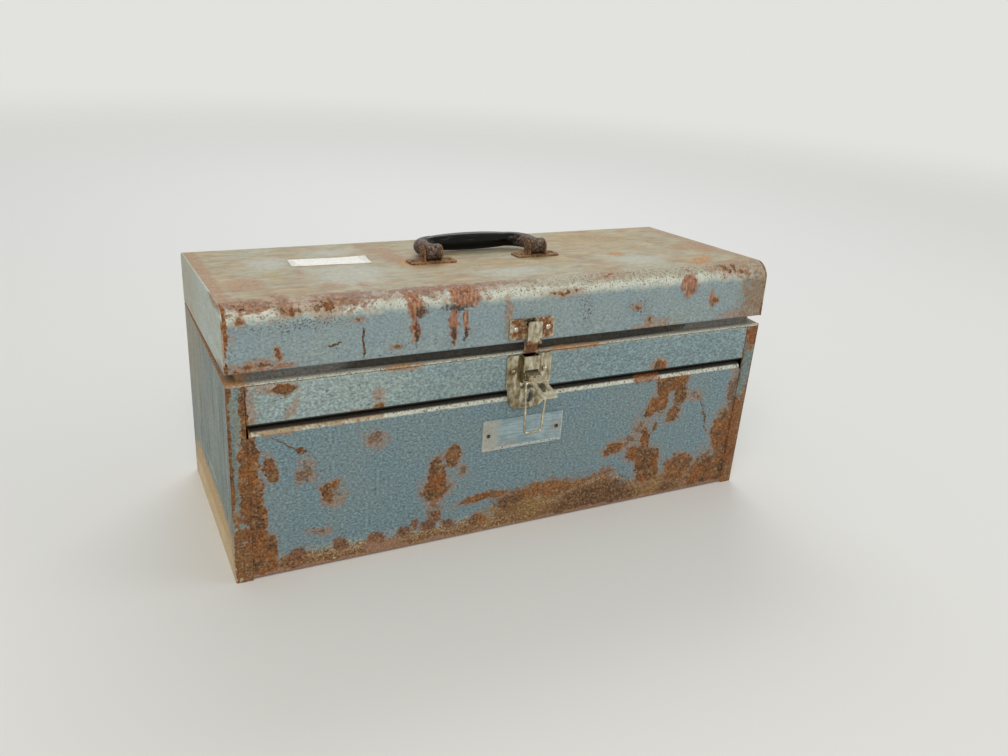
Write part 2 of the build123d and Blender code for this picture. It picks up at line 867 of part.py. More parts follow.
# Handle brackets: riveted plate with two ears either side of the boss
ear_inner = boss_half + ear_gap
for side, name in ((-1, "handle_bracket_left"), (1, "handle_bracket_right")):
    with BuildPart() as bracket:
        with BuildSketch(top_plane):
            with Locations((side * pivot_half, 0)):
                RectangleRounded(bracket_length, bracket_depth, 3.5)
                with Locations((-handle_rivet_half, 0), (handle_rivet_half, 0)):
                    Circle(rivet_shank, mode=Mode.SUBTRACT)
        extrude(amount=ear_sheet)
        for ear in (-1, 1):
            ear_plane = Plane(
                origin=top_plane.from_local_coords((side * pivot_half + ear * ear_inner, 0, 0)),
                x_dir=top_plane.y_dir,
                z_dir=(1, 0, 0),
            )
            with BuildSketch(ear_plane):
                with Locations((0, pivot_height / 2)):
                    Rectangle(ear_width, pivot_height)
                with Locations((0, pivot_height)):
                    Circle(ear_width / 2)
                    Circle(handle_pin, mode=Mode.SUBTRACT)
            extrude(amount=ear * ear_sheet)
    save(bracket, name, rides_on_lid=True)

with BuildPart() as handle_pins:
    for side in (-1, 1):
        with Locations(handle_plane.location * Location((side * pivot_half, 0, 0), (0, 90, 0))):
            Cylinder(handle_pin, 2 * (ear_inner + ear_sheet))
            with Locations((0, 0, -ear_inner - ear_sheet - 0.5), (0, 0, ear_inner + ear_sheet + 0.5)):
                Cylinder(handle_pin + 1.0, 1.0)
save(handle_pins, "handle_pins", rides_on_lid=True)

with BuildPart() as handle_rivets:
    with Locations(*on_plane(top_plane, [(x, y, ear_sheet) for x, y, z in handle_spots])):
        add(rivet(rivet_head, rivet_rise, rivet_shank, ear_sheet + sheet, small_rise))
save(handle_rivets, "handle_rivets", rides_on_lid=True)
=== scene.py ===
"""Looks of a weathered sheet-steel hand box: finishes, paper label, floor, light and camera.

Sizes are millimetres in the box's own frame: x along the front, y to the back, z up from the floor.
"""
import logging
from dataclasses import dataclass, replace
from enum import Enum
from math import radians
from typing import Any, Optional, Sequence, Union

import bpy
import numpy as np
from mathutils import Matrix, Vector


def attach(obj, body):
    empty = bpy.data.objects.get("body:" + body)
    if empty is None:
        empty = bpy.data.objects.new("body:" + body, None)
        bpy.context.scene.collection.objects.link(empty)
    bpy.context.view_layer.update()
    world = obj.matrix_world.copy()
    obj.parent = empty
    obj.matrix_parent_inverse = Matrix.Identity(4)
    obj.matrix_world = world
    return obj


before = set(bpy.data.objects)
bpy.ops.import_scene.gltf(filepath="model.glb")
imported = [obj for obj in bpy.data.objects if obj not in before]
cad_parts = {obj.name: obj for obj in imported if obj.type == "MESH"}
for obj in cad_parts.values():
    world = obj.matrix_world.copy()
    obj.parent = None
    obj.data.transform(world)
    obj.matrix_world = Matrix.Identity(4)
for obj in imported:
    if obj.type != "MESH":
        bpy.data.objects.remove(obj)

LOG = logging.getLogger("box")
MM = 0.001
Ends = tuple[float, float]
Span = Optional[Ends]
Input = Union[float, Sequence[float], bpy.types.NodeSocket]
Stops = tuple[tuple[float, str], ...]


def linear(colour: str) -> tuple[float, float, float, float]:
    """Turns an sRGB hex colour into the linear values that shaders take.

    Args:
        colour: "#rrggbb".

    Returns:
        Linear red, green, blue and an alpha of 1.
    """
    srgb = np.array([int(colour[i : i + 2], 16) for i in (1, 3, 5)]) / 255
    rgb = np.where(srgb <= 0.04045, srgb / 12.92, ((srgb + 0.055) / 1.055) ** 2.4)
    return (*map(float, rgb), 1.0)


def shades(middle: str, spread: float) -> Stops:
    """Four shades of one colour, for a ramp over a grain.

    Args:
        middle: the colour in the middle, "#rrggbb".
        spread: how far the darkest and lightest shades stand from it, as a share of it.

    Returns:
        Places and hex colours.
    """
    srgb = np.array([int(middle[i : i + 2], 16) for i in (1, 3, 5)])
    steps = ((0.05, -1.0), (0.38, -0.22), (0.62, 0.2), (0.95, 1.0))
    return tuple(
        (at, "#" + "".join(f"{int(v):02x}" for v in np.clip(srgb * (1 + away * spread), 0, 255)))
        for at, away in steps
    )


class Form(Enum):
    """Outline of a worn place."""

    ROUND = "round"
    BAR = "bar"


@dataclass(frozen=True)
class Grain:
    """Fractal noise of a real size, stretched so that low..high becomes 0..1."""

    size: float
    low: float = 0.3
    high: float = 0.7
    detail: float = 3.0
    stretch: tuple[float, float, float] = (1.0, 1.0, 1.0)
    seed: float = 0.0


# Width in millimetres and share of the fray: a coarse and a fine wander of the outlines.
FRAYS = ((16.0, 1.6), (3.2, 1.0))
# Noise keeps near its middle, so these stretch it to about the size that is asked for.
NOISE_GAIN = 2.6
DENT_GAIN = 8
# The sheet's own slight dents.
DENTS = Grain(70, 0, 1, 1)


@dataclass(frozen=True)
class Patch:
    """A worn place given by its spans; an axis without a span is covered from end to end.

    turn is in degrees, anticlockwise seen from the front, or from above where y has a span. A
    straight patch keeps its outline; the outline of any other wanders.
    """

    x: Span = None
    y: Span = None
    z: Span = None
    turn: float = 0.0
    form: Form = Form.ROUND
    straight: bool = False

    def fit(self) -> tuple[np.ndarray, np.ndarray]:
        """Gives the middle of the patch, seen in its own turned axes, and its half sizes.

        A patch without a y span turns about y, seen from the front; any other turns about z.
        """
        spans = np.array([s or (-4000.0, 4000.0) for s in (self.x, self.y, self.z)])
        middle, half = spans.mean(axis=1), np.ptp(spans, axis=1) / 2
        first, second = (0, 2) if self.y is None else (0, 1)
        angle = radians(self.turn)
        a, b = middle[first], middle[second]
        middle[first] = a * np.cos(angle) + b * np.sin(angle)
        middle[second] = b * np.cos(angle) - a * np.sin(angle)
        return middle, half


def bar(**spans: Any) -> Patch:
    """A worn place with a rounded box outline."""
    return Patch(form=Form.BAR, **spans)


def seam(**spans: Any) -> Patch:
    """A place along a fold or gap, with a rounded box outline that runs straight."""
    return Patch(form=Form.BAR, straight=True, **spans)


def places(axes: str, *spans: Sequence[float], **shared: Any) -> tuple[Patch, ...]:
    """Worn places, each given by the low and high end of its span along each axis in turn.

    Args:
        axes: the axes in order, such as "xz".
        spans: the ends for these axes; one number more turns the place.
        shared: spans and settings that all the places have.

    Returns:
        The places.
    """
    count = 2 * len(axes)
    return tuple(
        Patch(
            **dict(zip(axes, zip(span[:count:2], span[1:count:2]))),
            turn=sum(span[count:]), **shared,
        )
        for span in spans
    )


def bars(axes: str, *spans: Sequence[float], **shared: Any) -> tuple[Patch, ...]:
    """The same as places, with rounded box outlines."""
    return places(axes, *spans, form=Form.BAR, **shared)


@dataclass(frozen=True)
class Layer:
    """One coat of a finish: its colours over a grain, where it lies, and how it shines and stands.

    soft is the width of the patch edge as a share of the patch, broken how far the break-up grain
    eats into that edge, and reach how far the coat runs past the patches' outline. level is the
    height of the coat and lift that of its own relief, in millimetres. A coat with a lining height
    lies only on faces that look towards the middle of the box at that height.
    """

    stops: Stops
    grain: Grain
    where: tuple[Patch, ...] = ()
    breakup: Optional[Grain] = None
    holes: Optional[Grain] = None
    broken: float = 0.6
    soft: float = 0.12
    reach: float = 0.0
    cover: float = 1.0
    metallic: float = 0.0
    roughness: float = 0.5
    lift: float = 0.05
    level: float = 0.0
    lining: Optional[float] = None

    def on(self, *where: Patch, **changes: Any) -> "Layer":
        """The same coat with some changes, laid on these places."""
        return replace(self, where=where, **changes)


class Tree:
    """The node tree of a material or world, emptied and filled node by node."""

    def __init__(self, owner: Union[bpy.types.Material, bpy.types.World]) -> None:
        """Empties the tree.

        Args:
            owner: the material or world.
        """
        owner.use_nodes = True
        self.tree = owner.node_tree
        self.tree.nodes.clear()

    def put(
        self,
        kind: str,
        inputs: Optional[dict[Union[int, str], Input]] = None,
        out: Union[int, str] = 0,
        stops: Stops = (),
        **settings: Any,
    ) -> bpy.types.NodeSocket:
        """Adds a node with its settings and links.

        Args:
            kind: Blender's name of the node, without its ShaderNode.
            inputs: socket name or index to a value, or to the output that feeds it.
            out: name or index of the output wanted.
            stops: places and hex colours, for a colour ramp.
            settings: properties of the node.

        Returns:
            The output socket.
        """
        node = self.tree.nodes.new(f"ShaderNode{kind}")
        for key, value in settings.items():
            setattr(node, key, value)
        for key, value in (inputs or {}).items():
            if isinstance(value, bpy.types.NodeSocket):
                self.tree.links.new(value, node.inputs[key])
            else:
                node.inputs[key].default_value = value
        if stops:
            steps = node.color_ramp.elements
            for step, (at, colour) in zip(steps, (stops[0], stops[-1])):
                step.position, step.color = at, linear(colour)
            for at, colour in stops[1:-1]:
                steps.new(at).color = linear(colour)
        return node.outputs[out] if node.outputs else None


class Canvas(Tree):
    """The node tree of one material, drawn in the object's own millimetres."""

    def __init__(self, name: str, fray: float) -> None:
        """Starts the material.

        Args:
            name: name of the real finish.
            fray: how far the edges of worn places wander, in millimetres.
        """
        self.material = bpy.data.materials.new(name)
        super().__init__(self.material)
        self.drawn: dict[Grain, bpy.types.NodeSocket] = {}
        self.turned: dict[tuple[str, float], bpy.types.NodeSocket] = {}
        self.near: dict[tuple[Patch, ...], bpy.types.NodeSocket] = {}
        coords = self.put("TexCoord", out="Object")
        self.place = self.put("Mapping", {"Vector": coords, "Scale": (1000, 1000, 1000)})
        self.frayed = self.place
        for size, share in FRAYS:
            noise = self.put(
                "TexNoise", {"Vector": self.place, "Scale": 1 / size, "Detail": 2.0}, out="Color"
            )
            push = (NOISE_GAIN * share * fray,) * 3
            away = self.put("VectorMath", {0: noise, 1: (0.5, 0.5, 0.5)}, operation="SUBTRACT")
            self.frayed = self.put(
                "VectorMath", {0: away, 1: push, 2: self.frayed}, operation="MULTIPLY_ADD"
            )

    def grain(self, grain: Grain) -> bpy.types.NodeSocket:
        """Draws a grain once and hands out the same output after that."""
        if grain not in self.drawn:
            at = self.put(
                "Mapping",
                {
                    "Vector": self.place,
                    "Location": (grain.seed, 0.7 * grain.seed, -grain.seed),
                    "Scale": [1 / (grain.size * s) for s in grain.stretch],
                },
            )
            noise = self.put("TexNoise", {"Vector": at, "Scale": 1.0, "Detail": grain.detail})
            self.drawn[grain] = self.put(
                "MapRange", {"Value": noise, "From Min": grain.low, "From Max": grain.high},
            )
        return self.drawn[grain]

    def distance(self, patch: Patch) -> bpy.types.NodeSocket:
        """Distance from a patch's middle, 1 at its outline: |p| when round, the square root of
        x^4 + y^4 + z^4 for a bar, with p the place, frayed unless the patch is straight, mapped
        onto -1..1 by the spans."""
        axis, sense = ("Y_AXIS", 1) if patch.y is None else ("Z_AXIS", -1)
        at = self.place if patch.straight else self.frayed
        if patch.turn:
            key = (axis, patch.turn)
            if key not in self.turned:
                self.turned[key] = self.put(
                    "VectorRotate", {"Vector": at, "Angle": sense * radians(patch.turn)},
                    rotation_type=axis,
                )
            at = self.turned[key]
        middle, half = patch.fit()
        at = self.put(
            "VectorMath", {0: at, 1: 1 / half, 2: -middle / half}, operation="MULTIPLY_ADD",
        )
        if patch.form is Form.BAR:
            at = self.put("VectorMath", {0: at, 1: at}, operation="MULTIPLY")
        return self.put("VectorMath", {0: at}, out="Value", operation="LENGTH")

    def nearest(self, patches: tuple[Patch, ...]) -> bpy.types.NodeSocket:
        """Distance to the nearest of some patches, worked out once for all the coats on them."""
        if patches not in self.near:
            near = self.distance(patches[0])
            for patch in patches[1:]:
                near = self.put("Math", {0: near, 1: self.distance(patch)}, operation="MINIMUM")
            self.near[patches] = near
        return self.near[patches]

    def inner(self, height: float) -> bpy.types.NodeSocket:
        """1 on the inner faces of a sheet and 0 outside: whether the face's normal has a part
        along the way from there to the middle of the box at this height."""
        normal = self.put("TexCoord", out="Normal")
        inwards = self.put(
            "VectorMath", {0: (0.0, 0.0, height), 1: self.place}, operation="SUBTRACT",
        )
        along = self.put(
            "VectorMath", {0: normal, 1: inwards}, out="Value", operation="DOT_PRODUCT",
        )
        return self.put("Math", {0: along, 1: 0.0}, operation="GREATER_THAN")

    def mask(self, layer: Layer) -> Input:
        """Works out where a coat shows.

        Args:
            layer: the coat.

        Returns:
            0 to cover, as a number or a socket.
        """
        mask: Input = layer.cover
        if layer.lining is not None:
            mask = self.inner(layer.lining)
        if layer.where:
            near = self.nearest(layer.where)
            if layer.breakup:
                eaten = self.grain(layer.breakup)
                near = self.put(
                    "Math", {0: eaten, 1: layer.broken, 2: near}, operation="MULTIPLY_ADD",
                )
            far = 1.0 + layer.reach + (0.5 * layer.broken if layer.breakup else 0.0)
            mask = self.put(
                "MapRange",
                {
                    "Value": near, "From Min": far - layer.soft, "From Max": far + layer.soft,
                    "To Min": layer.cover, "To Max": 0.0,
                },
                interpolation_type="SMOOTHSTEP",
            )
        if layer.holes:
            mask = self.put("Math", {0: mask, 1: self.grain(layer.holes)}, operation="MULTIPLY")
        return mask

    def blend(self, mask: Input, below: Input, above: Input, colour: bool = False) -> Input:
        """Lays a value or colour over another by a mask, with no node where they are equal."""
        if below is None or (not isinstance(above, bpy.types.NodeSocket) and above == below):
            return above
        kind, first, result = ("RGBA", 6, 2) if colour else ("FLOAT", 2, 0)
        return self.put(
            "Mix", {0: mask, first: below, first + 1: above}, out=result, data_type=kind,
        )


@dataclass(frozen=True)
class Finish:
    """A weathered surface built up coat by coat.

    fray is how far the outlines of worn places wander, and wave the height of the sheet's own
    slight dents, which are about 70 mm across; both in millimetres.
    """

    name: str
    layers: tuple[Layer, ...]
    fray: float = 1.6
    wave: float = 0.25
    specular: float = 0.5

    def make(self) -> bpy.types.Material:
        """Builds the material.

        Returns:
            The material, ready to assign.
        """
        canvas = Canvas(self.name, self.fray)
        colour = metallic = roughness = height = None
        for layer in self.layers:
            mask = canvas.mask(layer)
            grain = canvas.grain(layer.grain)
            tint = canvas.put("ValToRGB", {"Fac": grain}, stops=layer.stops)
            raised = canvas.put(
                "Math", {0: grain, 1: layer.lift, 2: layer.level}, operation="MULTIPLY_ADD",
            )
            colour = canvas.blend(mask, colour, tint, colour=True)
            metallic = canvas.blend(mask, metallic, layer.metallic)
            roughness = canvas.blend(mask, roughness, layer.roughness)
            height = canvas.blend(mask, height, raised)
        dents = canvas.grain(DENTS)
        height = canvas.put(
            "Math", {0: dents, 1: DENT_GAIN * self.wave, 2: height}, operation="MULTIPLY_ADD"
        )
        normal = canvas.put("Bump", {"Distance": MM, "Height": height})
        shader = canvas.put(
            "BsdfPrincipled",
            {
                "Base Color": colour, "Metallic": metallic, "Roughness": roughness,
                "Specular IOR Level": self.specular, "Normal": normal,
            },
        )
        canvas.put("OutputMaterial", {"Surface": shader})
        return canvas.material


# Hammer-finish enamel, sprayed on steel: a finely puckered grey-blue skin, half matt with age.
ENAMEL = Layer(
    stops=shades("#7f9194", 0.16), grain=Grain(1.7, 0.32, 0.68, 4, (1.4, 1, 1)), roughness=0.46,
    lift=0.13,
)
# The same enamel where damp has dulled it: greener and paler, in broad clouds.
CLOUDED = ENAMEL.on(
    stops=shades("#8d9b92", 0.13), holes=Grain(46, 0.4, 0.68, 4, seed=3), roughness=0.54, lift=0.1,
    cover=0.75,
)
# The enamel inside the lid, never in the weather: an even grey-blue.
LINING = ENAMEL.on(stops=shades("#7d8d8f", 0.14))
# Enamel bleached and stained by water lying on it: smooth olive beige.
BLEACHED = Layer(
    stops=shades("#9f8d6a", 0.14), grain=Grain(9, 0.25, 0.75, 6, (2.2, 1, 1), 5), roughness=0.58,
    lift=0.06,
)
# What is left of the blue in the bleached top: soft pale blue-grey clouds. Along the lid's
# rounding it is laid as a painted sheen.
PALE_BLUE_AND_SHEEN = Layer(
    stops=shades("#a19c83", 0.07), grain=Grain(4, 0.3, 0.7, 4, seed=2), roughness=0.52, lift=0.06,
    cover=0.7,
)
# Paint rubbed thin over a bend: cream primer with sparse dark flecks of what is left on it.
# On rims and rolled edges it is partly a painted highlight as well.
RUBBED_AND_HIGHLIGHT = Layer(
    stops=((0.14, "#57503f"), (0.27, "#a3a28e"), (0.48, "#c0c2b2"), (0.85, "#d0d1c4")),
    grain=Grain(1.7, 0.3, 0.66, 4, seed=9), lift=0.1,
)
# Thin rust wash in the paint: a tan film, the paint's grain still showing.
WASH = Layer(
    stops=((0.1, "#6b4e39"), (0.45, "#936f54"), (0.75, "#a98767"), (1.0, "#b99f80")),
    grain=Grain(2.4, 0.28, 0.74, 5, seed=4), roughness=0.7, lift=0.1,
)
# Rust right through the paint: dry and pitted, umber with tan and near-black flecks, a bit proud.
RUST = Layer(
    stops=(
        (0.04, "#23170e"), (0.28, "#4b3320"), (0.54, "#644428"), (0.78, "#7d5c3a"),
        (1.0, "#a68b64"),
    ),
    grain=Grain(1.8, 0.3, 0.7, 7, seed=6), roughness=0.88, lift=0.3, level=0.05,
    breakup=Grain(5, 0.25, 0.75, 5, seed=8), soft=0.1,
)
# Rust with a redder cast, in blobs along the foot.
RED_RUST: Stops = ((0.1, "#442818"), (0.45, "#6f4528"), (0.75, "#875d3b"), (0.97, "#ab8a66"))
# Fresher orange-brown in the old rust, in clouds.
FOXED = Layer(
    stops=((0.1, "#542f15"), (0.5, "#864f22"), (0.9, "#ad7638")),
    grain=Grain(1.8, 0.28, 0.72, 6, seed=16), holes=Grain(11, 0.4, 0.62, 4, seed=18),
    roughness=0.86, lift=0.25, breakup=RUST.breakup, soft=0.2, cover=0.8,
)
# Dusty tan where the old rust has worn smooth, in clouds.
DUSTED = FOXED.on(
    stops=((0.1, "#6b4e33"), (0.5, "#8c6c4a"), (0.9, "#a98d65")),
    holes=Grain(7, 0.52, 0.68, 5, seed=28), cover=0.65,
)
# Old rust turning to tan and ochre crumbs, with cream specks, at the foot of the sheets.
CRUMBS = Layer(
    stops=(
        (0.08, "#43301d"), (0.34, "#6f4f30"), (0.6, "#866541"), (0.82, "#9e805b"), (1.0, "#cfc3a4"),
    ),
    grain=Grain(2, 0.28, 0.72, 6, seed=7), roughness=0.85, lift=0.28,
    breakup=Grain(5, 0.25, 0.75, 4, seed=2.5),
)
# Soft orange bloom round brackets and in folds.
BLOOM = Layer(
    stops=((0.1, "#8a5429"), (0.5, "#ae7a45"), (0.9, "#c39c68")),
    grain=Grain(2.4, 0.28, 0.72, 5, seed=1), roughness=0.8, lift=0.1,
    breakup=Grain(6, 0.25, 0.75, 4, seed=5.5), broken=0.7, soft=0.35,
)
# Pin-head chips down to dark steel, thinly scattered over the paint.
CHIPS = Layer(
    stops=((0.2, "#262019"), (0.8, "#4a3a2b")), grain=Grain(3, seed=1.5),
    holes=Grain(1.9, 0.67, 0.72, 2, seed=11), roughness=0.8, lift=0.0, level=-0.05, cover=0.8,
)
# Dark brown film in folds and corners where a cloth never reaches; also laid as painted shade in
# gaps, under the lid's overhang and behind the latch lever.
GRIME_AND_SHADE = Layer(
    stops=((0.1, "#14110c"), (0.9, "#2d261b")), grain=Grain(4, seed=12),
    breakup=Grain(8, 0.25, 0.75, seed=12.5), roughness=0.9, soft=0.5, cover=0.75,
)
# Rolled steel under a thin zinc wash: grey with dull spangle.
ZINC = Layer(
    stops=((0.1, "#7d8080"), (0.5, "#9a9c9a"), (0.95, "#b4b5b0")), grain=Grain(6, 0.3, 0.7, 2),
    metallic=0.85, roughness=0.42, lift=0.02,
)
# Nickel plate worn soft: warm white metal, hazy, yellowed in clouds.
NICKEL = Layer(
    stops=((0.1, "#8b8168"), (0.45, "#b3a98f"), (0.7, "#cbc4ae"), (0.95, "#dfdac9")),
    grain=Grain(3.4, 0.28, 0.72, 5, (1, 1, 2)), metallic=1.0, roughness=0.24, lift=0.03,
)
# Aluminium sheet, rolled and satin: cool white metal with long faint scratches.
ALUMINIUM = Layer(
    stops=shades("#a9bdc3", 0.12), grain=Grain(1.6, 0.25, 0.75, 5, (14, 1, 1)), metallic=1.0,
    roughness=0.34, lift=0.015,
)
# Black moulded grip, polished by hands: deep gloss with hair scratches.
GRIP = Layer(
    stops=((0.1, "#050505"), (0.9, "#10100d")), grain=Grain(2.2, 0.3, 0.7, 5, (9, 1, 1)),
    roughness=0.24, lift=0.012,
)
# Grip worn to its brown core and dusted, at the bends and bosses.
GRIP_WORN = Layer(
    stops=((0.1, "#2b2420"), (0.5, "#5a4a3f"), (0.9, "#8b7768")),
    grain=Grain(1.8, 0.28, 0.72, 6, seed=3), roughness=0.62, lift=0.1,
    breakup=Grain(4, 0.25, 0.75, 4, seed=3.5), broken=0.7, soft=0.35,
)
# Uncoated paper, a little soiled: bright, matt, with fibre grain.
PAPER = Layer(
    stops=((0.1, "#d9d8cf"), (0.6, "#e9e8e1"), (0.95, "#f0efe9")), grain=Grain(3, 0.25, 0.75, 5),
    roughness=0.8, lift=0.02,
)


def stand(name: str, data: bpy.types.ID) -> bpy.types.Object:
    """Puts a new object with this data into the scene.

    Args:
        name: name of the object.
        data: its mesh, light or camera.

    Returns:
        The object.
    """
    thing = bpy.data.objects.new(name, data)
    bpy.context.scene.collection.objects.link(thing)
    return thing


def rusted(*patches: Patch, halo: float = 0.35, **changes: Any) -> tuple[Layer, ...]:
    """Old rust on some places, with a tan film round it and fresher clouds in it.

    Args:
        patches: the rusted places.
        halo: how far the film runs past the rust, as a share of each place.
        changes: settings for the rust itself.

    Returns:
        The four coats in order.
    """
    film = WASH.on(*patches, reach=halo, soft=0.45, breakup=RUST.breakup, broken=0.9, cover=0.6)
    eaten = {key: changes[key] for key in ("broken", "reach") if key in changes}
    rust = RUST.on(*patches, **changes)
    return film, rust, FOXED.on(*patches, **eaten), DUSTED.on(*patches, **eaten)


def dress(name: str, nodes: str, *layers: Layer, **settings: float) -> None:
    """Puts a finish on CAD nodes.

    Args:
        name: name of the real finish.
        nodes: names of the nodes that share it, with spaces between them.
        layers: its coats, from the sheet outwards.
        settings: its other values, by their names in Finish.
    """
    material = Finish(name, layers, **settings).make()
    for node in nodes.split():
        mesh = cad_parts[node].data
        mesh.materials.clear()
        mesh.materials.append(material)
    LOG.info("%s on %s", name, nodes)


@dataclass(frozen=True)
class Lid:
    """Sloped lid: shell wrapped over a rounded front, with two end caps."""

    band_low: float = 223.0
    band_high: float = 243.0
    round_end: float = -86.5
    middle: float = 190.0

    def dress_shell(self) -> None:
        """Bleached top, a painted sheen over the cream-worn rounding, and stained blue front."""
        face = (-125.0, self.round_end + 2.5)
        top = bar(y=(self.round_end - 1.0, 130.0), z=(215, 260))
        rounding = bar(y=(-120, -89.5), z=(self.band_low, self.band_high))
        crown = bars("yz", (-99, -85, 230, 243)) + places("xyz", (-262, 20, -100, -80, 228, 246))
        flaking = places(
            "xyz", (-262, -196, -125, -82, 222, 244), (-200, -120, -125, -82, 224, 245),
            (-130, 6, -125, -82, 231, 246), (214, 262, -125, -80, 222, 246),
        ) + places("xz", (-252, -200, 180, 194), (226, 262, 182, 226), y=face)
        blotches = places(
            "xz", (-113, -96, 213, 239), (-110, -100.5, 196, 220), (-82, -43, 220, 240),
            (-75.5, -69, 191, 221), (-63.5, -59, 193, 221), (154, 172, 211, 234),
            (187, 195.5, 199, 213), y=face,
        )
        stains = places(
            "xz", (232, 266, 180, 236), (200, 262, 180, 193), (-26, -17.5, 196, 226),
            (104, 150, 181, 192), y=face,
        )
        end_stain = Patch(x=(222, 262), y=face, z=(184, 232))
        flecks = places(
            "xz", (-250, -212, 184, 193), (-217, -211, 189, 204), (-215, -190, 224, 237),
            (-188, -166, 222, 238), (-243, -236.5, 219, 230), (-158, -144.5, 216.2, 219.8),
            (-128, -115, 189, 194), (14, 48, 222, 228), (101, 113, 201.5, 209),
            (117, 125, 187, 195), (190, 200, 202, 208), (-250, -224, 232, 240), (60, 100, 232, 240),
            (190, 236, 226, 240), y=face,
        )
        rims = (bar(x=(-256, -251.6), y=face), bar(x=(252.4, 256), y=face))
        drips = places(
            "xz", (-107, -103, 193, 212), (-104, -96, 214, 224), (-75, -71.5, 190, 204),
            (-62.5, -59.5, 191, 204), (-80, -58, 218, 223), y=face,
        )
        scratches = places("xz", (-149, -146.2, 186, 212), (-177, -165, 199, 200.6), y=face)
        sooty = places(
            "xz", (46, 60, 190, 226), (-240, -150, 212, 224), (96, 122, 196, 214), y=face,
        )
        strip = bars("xyz", (-260, -242.5, -92, 130, 200, 260)) + places(
            "xy", (-239, -209, -60, -17), (-170, -151, -73, -49), (-90, -69, -4, 76),
            (-101, -86, 74, 94), (220, 250, -38, 6), (218, 240, -98, -78),
        )
        orange = places(
            "xy", (-83, -62, -20, 15), (-66, -34, -17, -2), (167, 225, -77, -63, 42),
            (124, 140, -28, -13),
        )
        spots = places(
            "xy", (-142, -131, -76, -57), (-179, -172, -20, 2), (151, 182, 33, 69),
            (194, 209, 16, 33), (201, 224, -19, -3), (236, 262, -60, 110),
        )
        ochre = places(
            "xy", (-200, -189, -22, 4), (42, 68, -44, -8), (-36, 30, -40, -12), (96, 190, 0, 96),
        )
        hem = bars("xy", (-256, -216, -97, -84), (-131, 12, -91.5, -86), z=(228, 246)) + places(
            "xyz", (-214.5, -202, -108, -74, 222, 246), (-184, -131, -99, -82, 228, 246),
            (-113, -83, -104, -83, 228, 246),
        )
        fade = places(
            "xy", (-166, -108, -64, 12), (-210, -172, 8, 56), (-150, -104, 50, 72),
            (112, 166, -64, -28), (-20, 30, -74, -40),
        )
        grey_edge = (Patch(x=(-20, 262), y=(-97, -82), z=(226, 246)),)
        eaten = Grain(6, 0.3, 0.7, 4, seed=5)
        clouds = Grain(38, 0.42, 0.64, 4, (1.5, 1, 1), 7)
        torn = Grain(9, 0.3, 0.7, 5, seed=6)
        flakes = Grain(4.6, 0.52, 0.57, 6, (1.5, 1, 1), 71)
        mottle = Grain(5, 0.5, 0.68, 6, (2.6, 1, 1), 61)
        pools = Grain(16, 0.42, 0.62, 5, (1.6, 1, 1), 47)
        runs = Grain(1.9, 0.28, 0.72, 4, (1, 1, 4), 51)
        reddish = ((0.1, "#583626"), (0.4, "#8a5a42"), (0.7, "#a57555"), (1.0, "#bd976f"))
        painted_sheen = shades("#b6bdae", 0.06)
        dress(
            "hammered_enamel_lid", "lid_shell",
            ENAMEL.on(stops=shades("#839498", 0.11)),
            CLOUDED.on(stops=shades("#8d9992", 0.1), cover=0.6),
            BLEACHED.on(top, soft=0.05, stops=shades("#968360", 0.2)),
            BLEACHED.on(top, stops=shades("#9b8e6f", 0.12), soft=0.05, holes=pools, cover=0.8),
            PALE_BLUE_AND_SHEEN.on(top, soft=0.05, stops=shades("#989a82", 0.1), holes=clouds),
            WASH.on(top, soft=0.05, stops=shades("#8b6a4b", 0.24), holes=mottle, cover=0.5),
            PALE_BLUE_AND_SHEEN.on(*fade, stops=shades("#a4a698", 0.07), soft=0.7, breakup=torn, cover=0.75),
            WASH.on(*spots, soft=0.6, breakup=torn, cover=0.5),
            WASH.on(*ochre, stops=shades("#a18752", 0.16), soft=0.7, breakup=torn, cover=0.38),
            WASH.on(*strip, stops=shades("#9a7557", 0.2), soft=0.5, breakup=torn, cover=0.62),
            BLOOM.on(*orange, breakup=torn, soft=0.5, cover=0.7),
            # Painted highlight: a pale sheen along the rounded front edge; the cream wear at its
            # core is real.
            PALE_BLUE_AND_SHEEN.on(rounding, soft=0.85, stops=painted_sheen, cover=0.95),
            RUBBED_AND_HIGHLIGHT.on(rounding, soft=0.55, reach=-0.3, breakup=Grain(9), broken=0.5, cover=0.9),
            WASH.on(*crown, soft=0.5, reach=-0.2, breakup=Grain(8, seed=4), broken=1.2, cover=0.4),
            RUST.on(*flaking, stops=reddish, soft=0.5, breakup=None, holes=flakes, cover=0.9),
            WASH.on(
                *hem, stops=shades("#83604a", 0.24), soft=0.4, breakup=eaten, broken=1.1, cover=0.8,
            ),
            PALE_BLUE_AND_SHEEN.on(*grey_edge, soft=0.4, cover=0.6),
            CHIPS.on(*grey_edge, holes=Grain(1.6, 0.55, 0.64, 3, seed=45), soft=0.5, cover=0.7),
            WASH.on(*stains, soft=0.45, breakup=Grain(7), broken=0.8, cover=0.66),
            WASH.on(end_stain, stops=shades("#77694f", 0.16), soft=0.6, breakup=torn, cover=0.45),
            WASH.on(
                *blotches, grain=runs, stops=reddish, soft=0.28, breakup=eaten, broken=0.8,
                cover=0.95,
            ),
            FOXED.on(*blotches, breakup=eaten, holes=Grain(7, 0.5, 0.66, 4, seed=22), cover=0.55),
            GRIME_AND_SHADE.on(
                *drips, soft=0.5, breakup=Grain(2.5, 0.3, 0.7, 4, seed=23), broken=1.2, cover=0.8,
            ),
            *rusted(*flecks, halo=0.2, broken=1.5, reach=-0.45),
            *rusted(*rims, halo=0.4),
            RUST.on(*scratches, broken=0.2),
            CHIPS.on(*sooty, holes=Grain(1.5, 0.56, 0.63, 3, seed=15), soft=0.6, cover=0.85),
            CHIPS.on(bar(y=face), soft=0.1),
            LINING.on(lining=self.middle),
            fray=2.1,
        )

